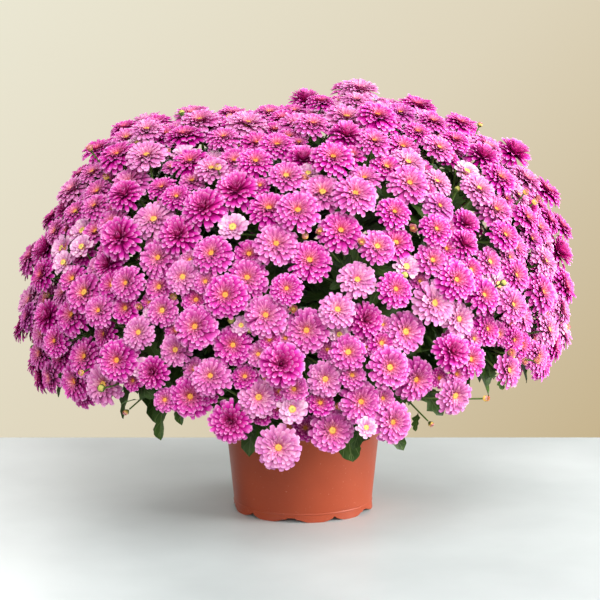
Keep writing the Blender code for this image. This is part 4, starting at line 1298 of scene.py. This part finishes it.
def pot_profile():
    """Radius and height, from the middle of the floor up the inside, over the rim and down to the foot."""
    floor_top, band, edge = SKIRT_HEIGHT + FLOOR_THICK, POT_HEIGHT - RIM_BAND, POT_HEIGHT - EDGE
    inside, top_inside = wall_radius(floor_top) - WALL, wall_radius(POT_HEIGHT) - WALL
    outer, above_skirt = wall_radius(POT_HEIGHT) + RIM_STEP, wall_radius(SKIRT_HEIGHT)
    foot = FOOT_RADIUS + SKIRT_FLARE
    inner = [(NEAR_AXIS, floor_top), (inside - FILLET, floor_top), (inside, floor_top + FILLET)]
    rim = [(top_inside, edge), (top_inside + EDGE, POT_HEIGHT), (outer - EDGE, POT_HEIGHT), (outer, edge)]
    rim += [(wall_radius(band) + out, band + up) for out, up in BAND_FOOT]
    wall = [(wall_radius(z), z) for z in np.linspace(band - BAND_GAP, SKIRT_HEIGHT + RIDGE_GAP, WALL_RINGS)]
    ridge = [(above_skirt + out, SKIRT_HEIGHT + up) for out, up in RIDGE]
    skirt = [(foot + out, up) for out, up in SKIRT_EDGE]
    skirt += [(foot - WALL * SKIRT_THIN, 0.0), (above_skirt - WALL, SKIRT_HEIGHT), (NEAR_AXIS, SKIRT_HEIGHT)]
    return inner + rim + wall + ridge + skirt


print("rings of the pot", len(pot_profile()))

# %% Turn the pot and cut its foot
LOBE_PAIRS = 5
FIRST_ARCH = math.radians(-99.6)
ARCH_HALF = 0.0100
ARCH_HIGH = 0.0050
ARCH_SLOPE = 0.0055
LOBE_ROUND = 0.014
LOBE_LIFT = 0.0032
NOTCH_HALF = 0.0035
NOTCH_HIGH = 0.0072
LOW_PART = 0.5
CUT_INWARD = 0.8


def foot_lift(turn):
    """How far the skirt's edge is cut up at each angle: wide arches, pointed notches, round lobes between."""
    pair = math.tau / LOBE_PAIRS
    from_arch = np.abs((turn - FIRST_ARCH + pair / 2) % pair - pair / 2) * FOOT_RADIUS
    from_notch = pair / 2 * FOOT_RADIUS - from_arch
    arch = ARCH_HIGH * np.clip((ARCH_HALF - from_arch) / ARCH_SLOPE, 0, 1)
    notch = NOTCH_HIGH * np.maximum(1 - from_notch / NOTCH_HALF, 0)
    near_arch = np.clip(1 - (from_arch - ARCH_HALF) / LOBE_ROUND, 0, 1)
    near_notch = np.clip(1 - (from_notch - NOTCH_HALF) / LOBE_ROUND, 0, 1)
    rounding = LOBE_LIFT * (near_arch ** 2 + near_notch ** 2)
    return np.maximum(np.maximum(arch, notch), rounding)


def turned_pot():
    points = turned(pot_profile(), POT_SIDES)
    turn = np.arctan2(points[..., 1], points[..., 0])
    low = points[..., 2] < SKIRT_HEIGHT * LOW_PART
    lift = foot_lift(turn)
    points[..., 2] = np.where(low, np.maximum(points[..., 2], lift), points[..., 2])
    inward = np.where(low, lift / SKIRT_HEIGHT * (SKIRT_FLARE * CUT_INWARD) / FOOT_RADIUS, 0.0)
    points[..., :2] *= (1 - inward)[..., None]
    return points + np.array(POT_AXIS)


pot_points = turned_pot()
arch_cut = float(foot_lift(np.array([FIRST_ARCH]))[0])
print("pot height", pot_points[..., 2].max(), "foot cut", round(arch_cut, 4))

# %% [markdown]
# ## Moulded plastic
#
# The plastic is coloured right through, with a satin skin. Close by, the tone is not quite even, fine dust
# clings to it in pale specks, and the mould has left the faintest rings. All three are noise
# at different sizes, and the roughness follows the tone.

# %% Finish the pot
SHARP_ANGLE = math.radians(35)


def pot_finish():
    finish = Finish("terracotta_plastic", 0.42, 0.30)
    place = finish.place()
    tone = finish.noise(place, 14.0, 5.0)
    ground = finish.tones(tone, (0.3, 152, 63, 36), (0.7, 169, 74, 44))
    dust = finish.noise(place, 420.0, 2.0)
    specks = finish.greys(dust, (0.70, 0), (0.76, 0.5))
    height = finish.times(finish.split(place)[2], 60.0)
    rings = finish.noise(finish.joined(0.0, 0.0, height), 5.0, 2.0)
    finish.feed(finish.shader.inputs["Roughness"], finish.greys(tone, (0.3, 0.38), (0.7, 0.5)))
    finish.bump(finish.sum("ADD", rings, finish.times(dust, 0.15)), 0.12, 0.001)
    return finish.coloured(finish.blend(specks, ground, light(214, 160, 134)))


pot_body = Body()
pot_body.add(pot_points, ring_faces(len(pot_points), POT_SIDES), 0)
pot_piece = pot_body.finished("grower_pot", [pot_finish()], "pot")
pot_piece.data.set_sharp_from_angle(angle=SHARP_ANGLE)
print("pot faces", len(pot_piece.data.polygons))

# %% [markdown]
# ## Soil
#
# The compost is peat with bark crumbs, almost black where it is moist. A turned disc gets lumps from
# noise that is worked out on its points, so the crumbs are real bumps, and the finish adds the
# colour of bark and a few pale grains. Its side and underside are plain, since the pot hides
# them.

# %% Fill the pot
SOIL_SIDES = 120
SOIL_CROWN = 0.004
SOIL_GAP = 0.0003
SOIL_RINGS = 26
LUMPS, GRAINS = 0.0009, 0.0005


def soil_profile():
    inside = wall_radius(SOIL_TOP) - WALL - SOIL_GAP
    bottom = SKIRT_HEIGHT + FLOOR_THICK + SOIL_GAP
    low = wall_radius(bottom) - WALL - SOIL_GAP
    shares = np.linspace(0.01, 0.98, SOIL_RINGS)
    top = [(inside * share, SOIL_TOP + SOIL_CROWN * (1 - share ** 2)) for share in shares]
    return top + [(inside, SOIL_TOP - 0.001), (low, bottom), (NEAR_AXIS, bottom)]


def crumbled(points):
    """Lifts the top of the soil in crumbs by a few sine waves that do not repeat together."""
    x, y = points[..., 0] * 1000, points[..., 1] * 1000
    lumps = np.sin(0.55 * x + 0.9 * np.sin(0.31 * y)) * np.sin(0.62 * y + 1.1 * np.sin(0.27 * x))
    grains = np.sin(1.9 * x + 2.1 * np.sin(1.3 * y)) * np.sin(2.2 * y + 1.7 * np.sin(1.1 * x))
    top = points[..., 2] > SOIL_TOP - 0.0005
    points[..., 2] += np.where(top, LUMPS * lumps + GRAINS * grains, 0)
    return points


def soil_finish():
    finish = Finish("potting_soil", 0.95)
    place = finish.place()
    crumbs = finish.noise(place, 260.0, 6.0)
    colour = finish.tones(crumbs, (0.35, 32, 22, 16), (0.6, 74, 52, 38), (0.72, 112, 84, 60))
    grains = finish.greys(finish.noise(place, 520.0, 1.0), (0.72, 0), (0.74, 0.8))
    finish.bump(crumbs, 0.7, 0.002)
    return finish.coloured(finish.blend(grains, colour, light(196, 186, 170)))


soil_points = crumbled(turned(soil_profile(), SOIL_SIDES)) + np.array(POT_AXIS)
soil_body = Body()
soil_body.add(soil_points[::-1], ring_faces(len(soil_points), SOIL_SIDES), 0)
soil_piece = soil_body.finished("potting_soil", [soil_finish()], "soil")
print("soil faces", len(soil_piece.data.polygons))

# %% [markdown]
# ## Counting the triangles
#
# The dressed plant must keep the size of the frame, and each piece is tied to the frame as it is finished.
# The faces of every piece are counted as triangles.

# %% Count the triangles
def triangles(item):
    return sum(len(polygon.vertices) - 2 for polygon in item.data.polygons)


pieces = [*grown_sprays, *grown_stems, pot_piece, soil_piece]
counts = [triangles(item) for item in pieces]
print("pieces", len(pieces), "triangles", sum(counts), "largest", max(counts))
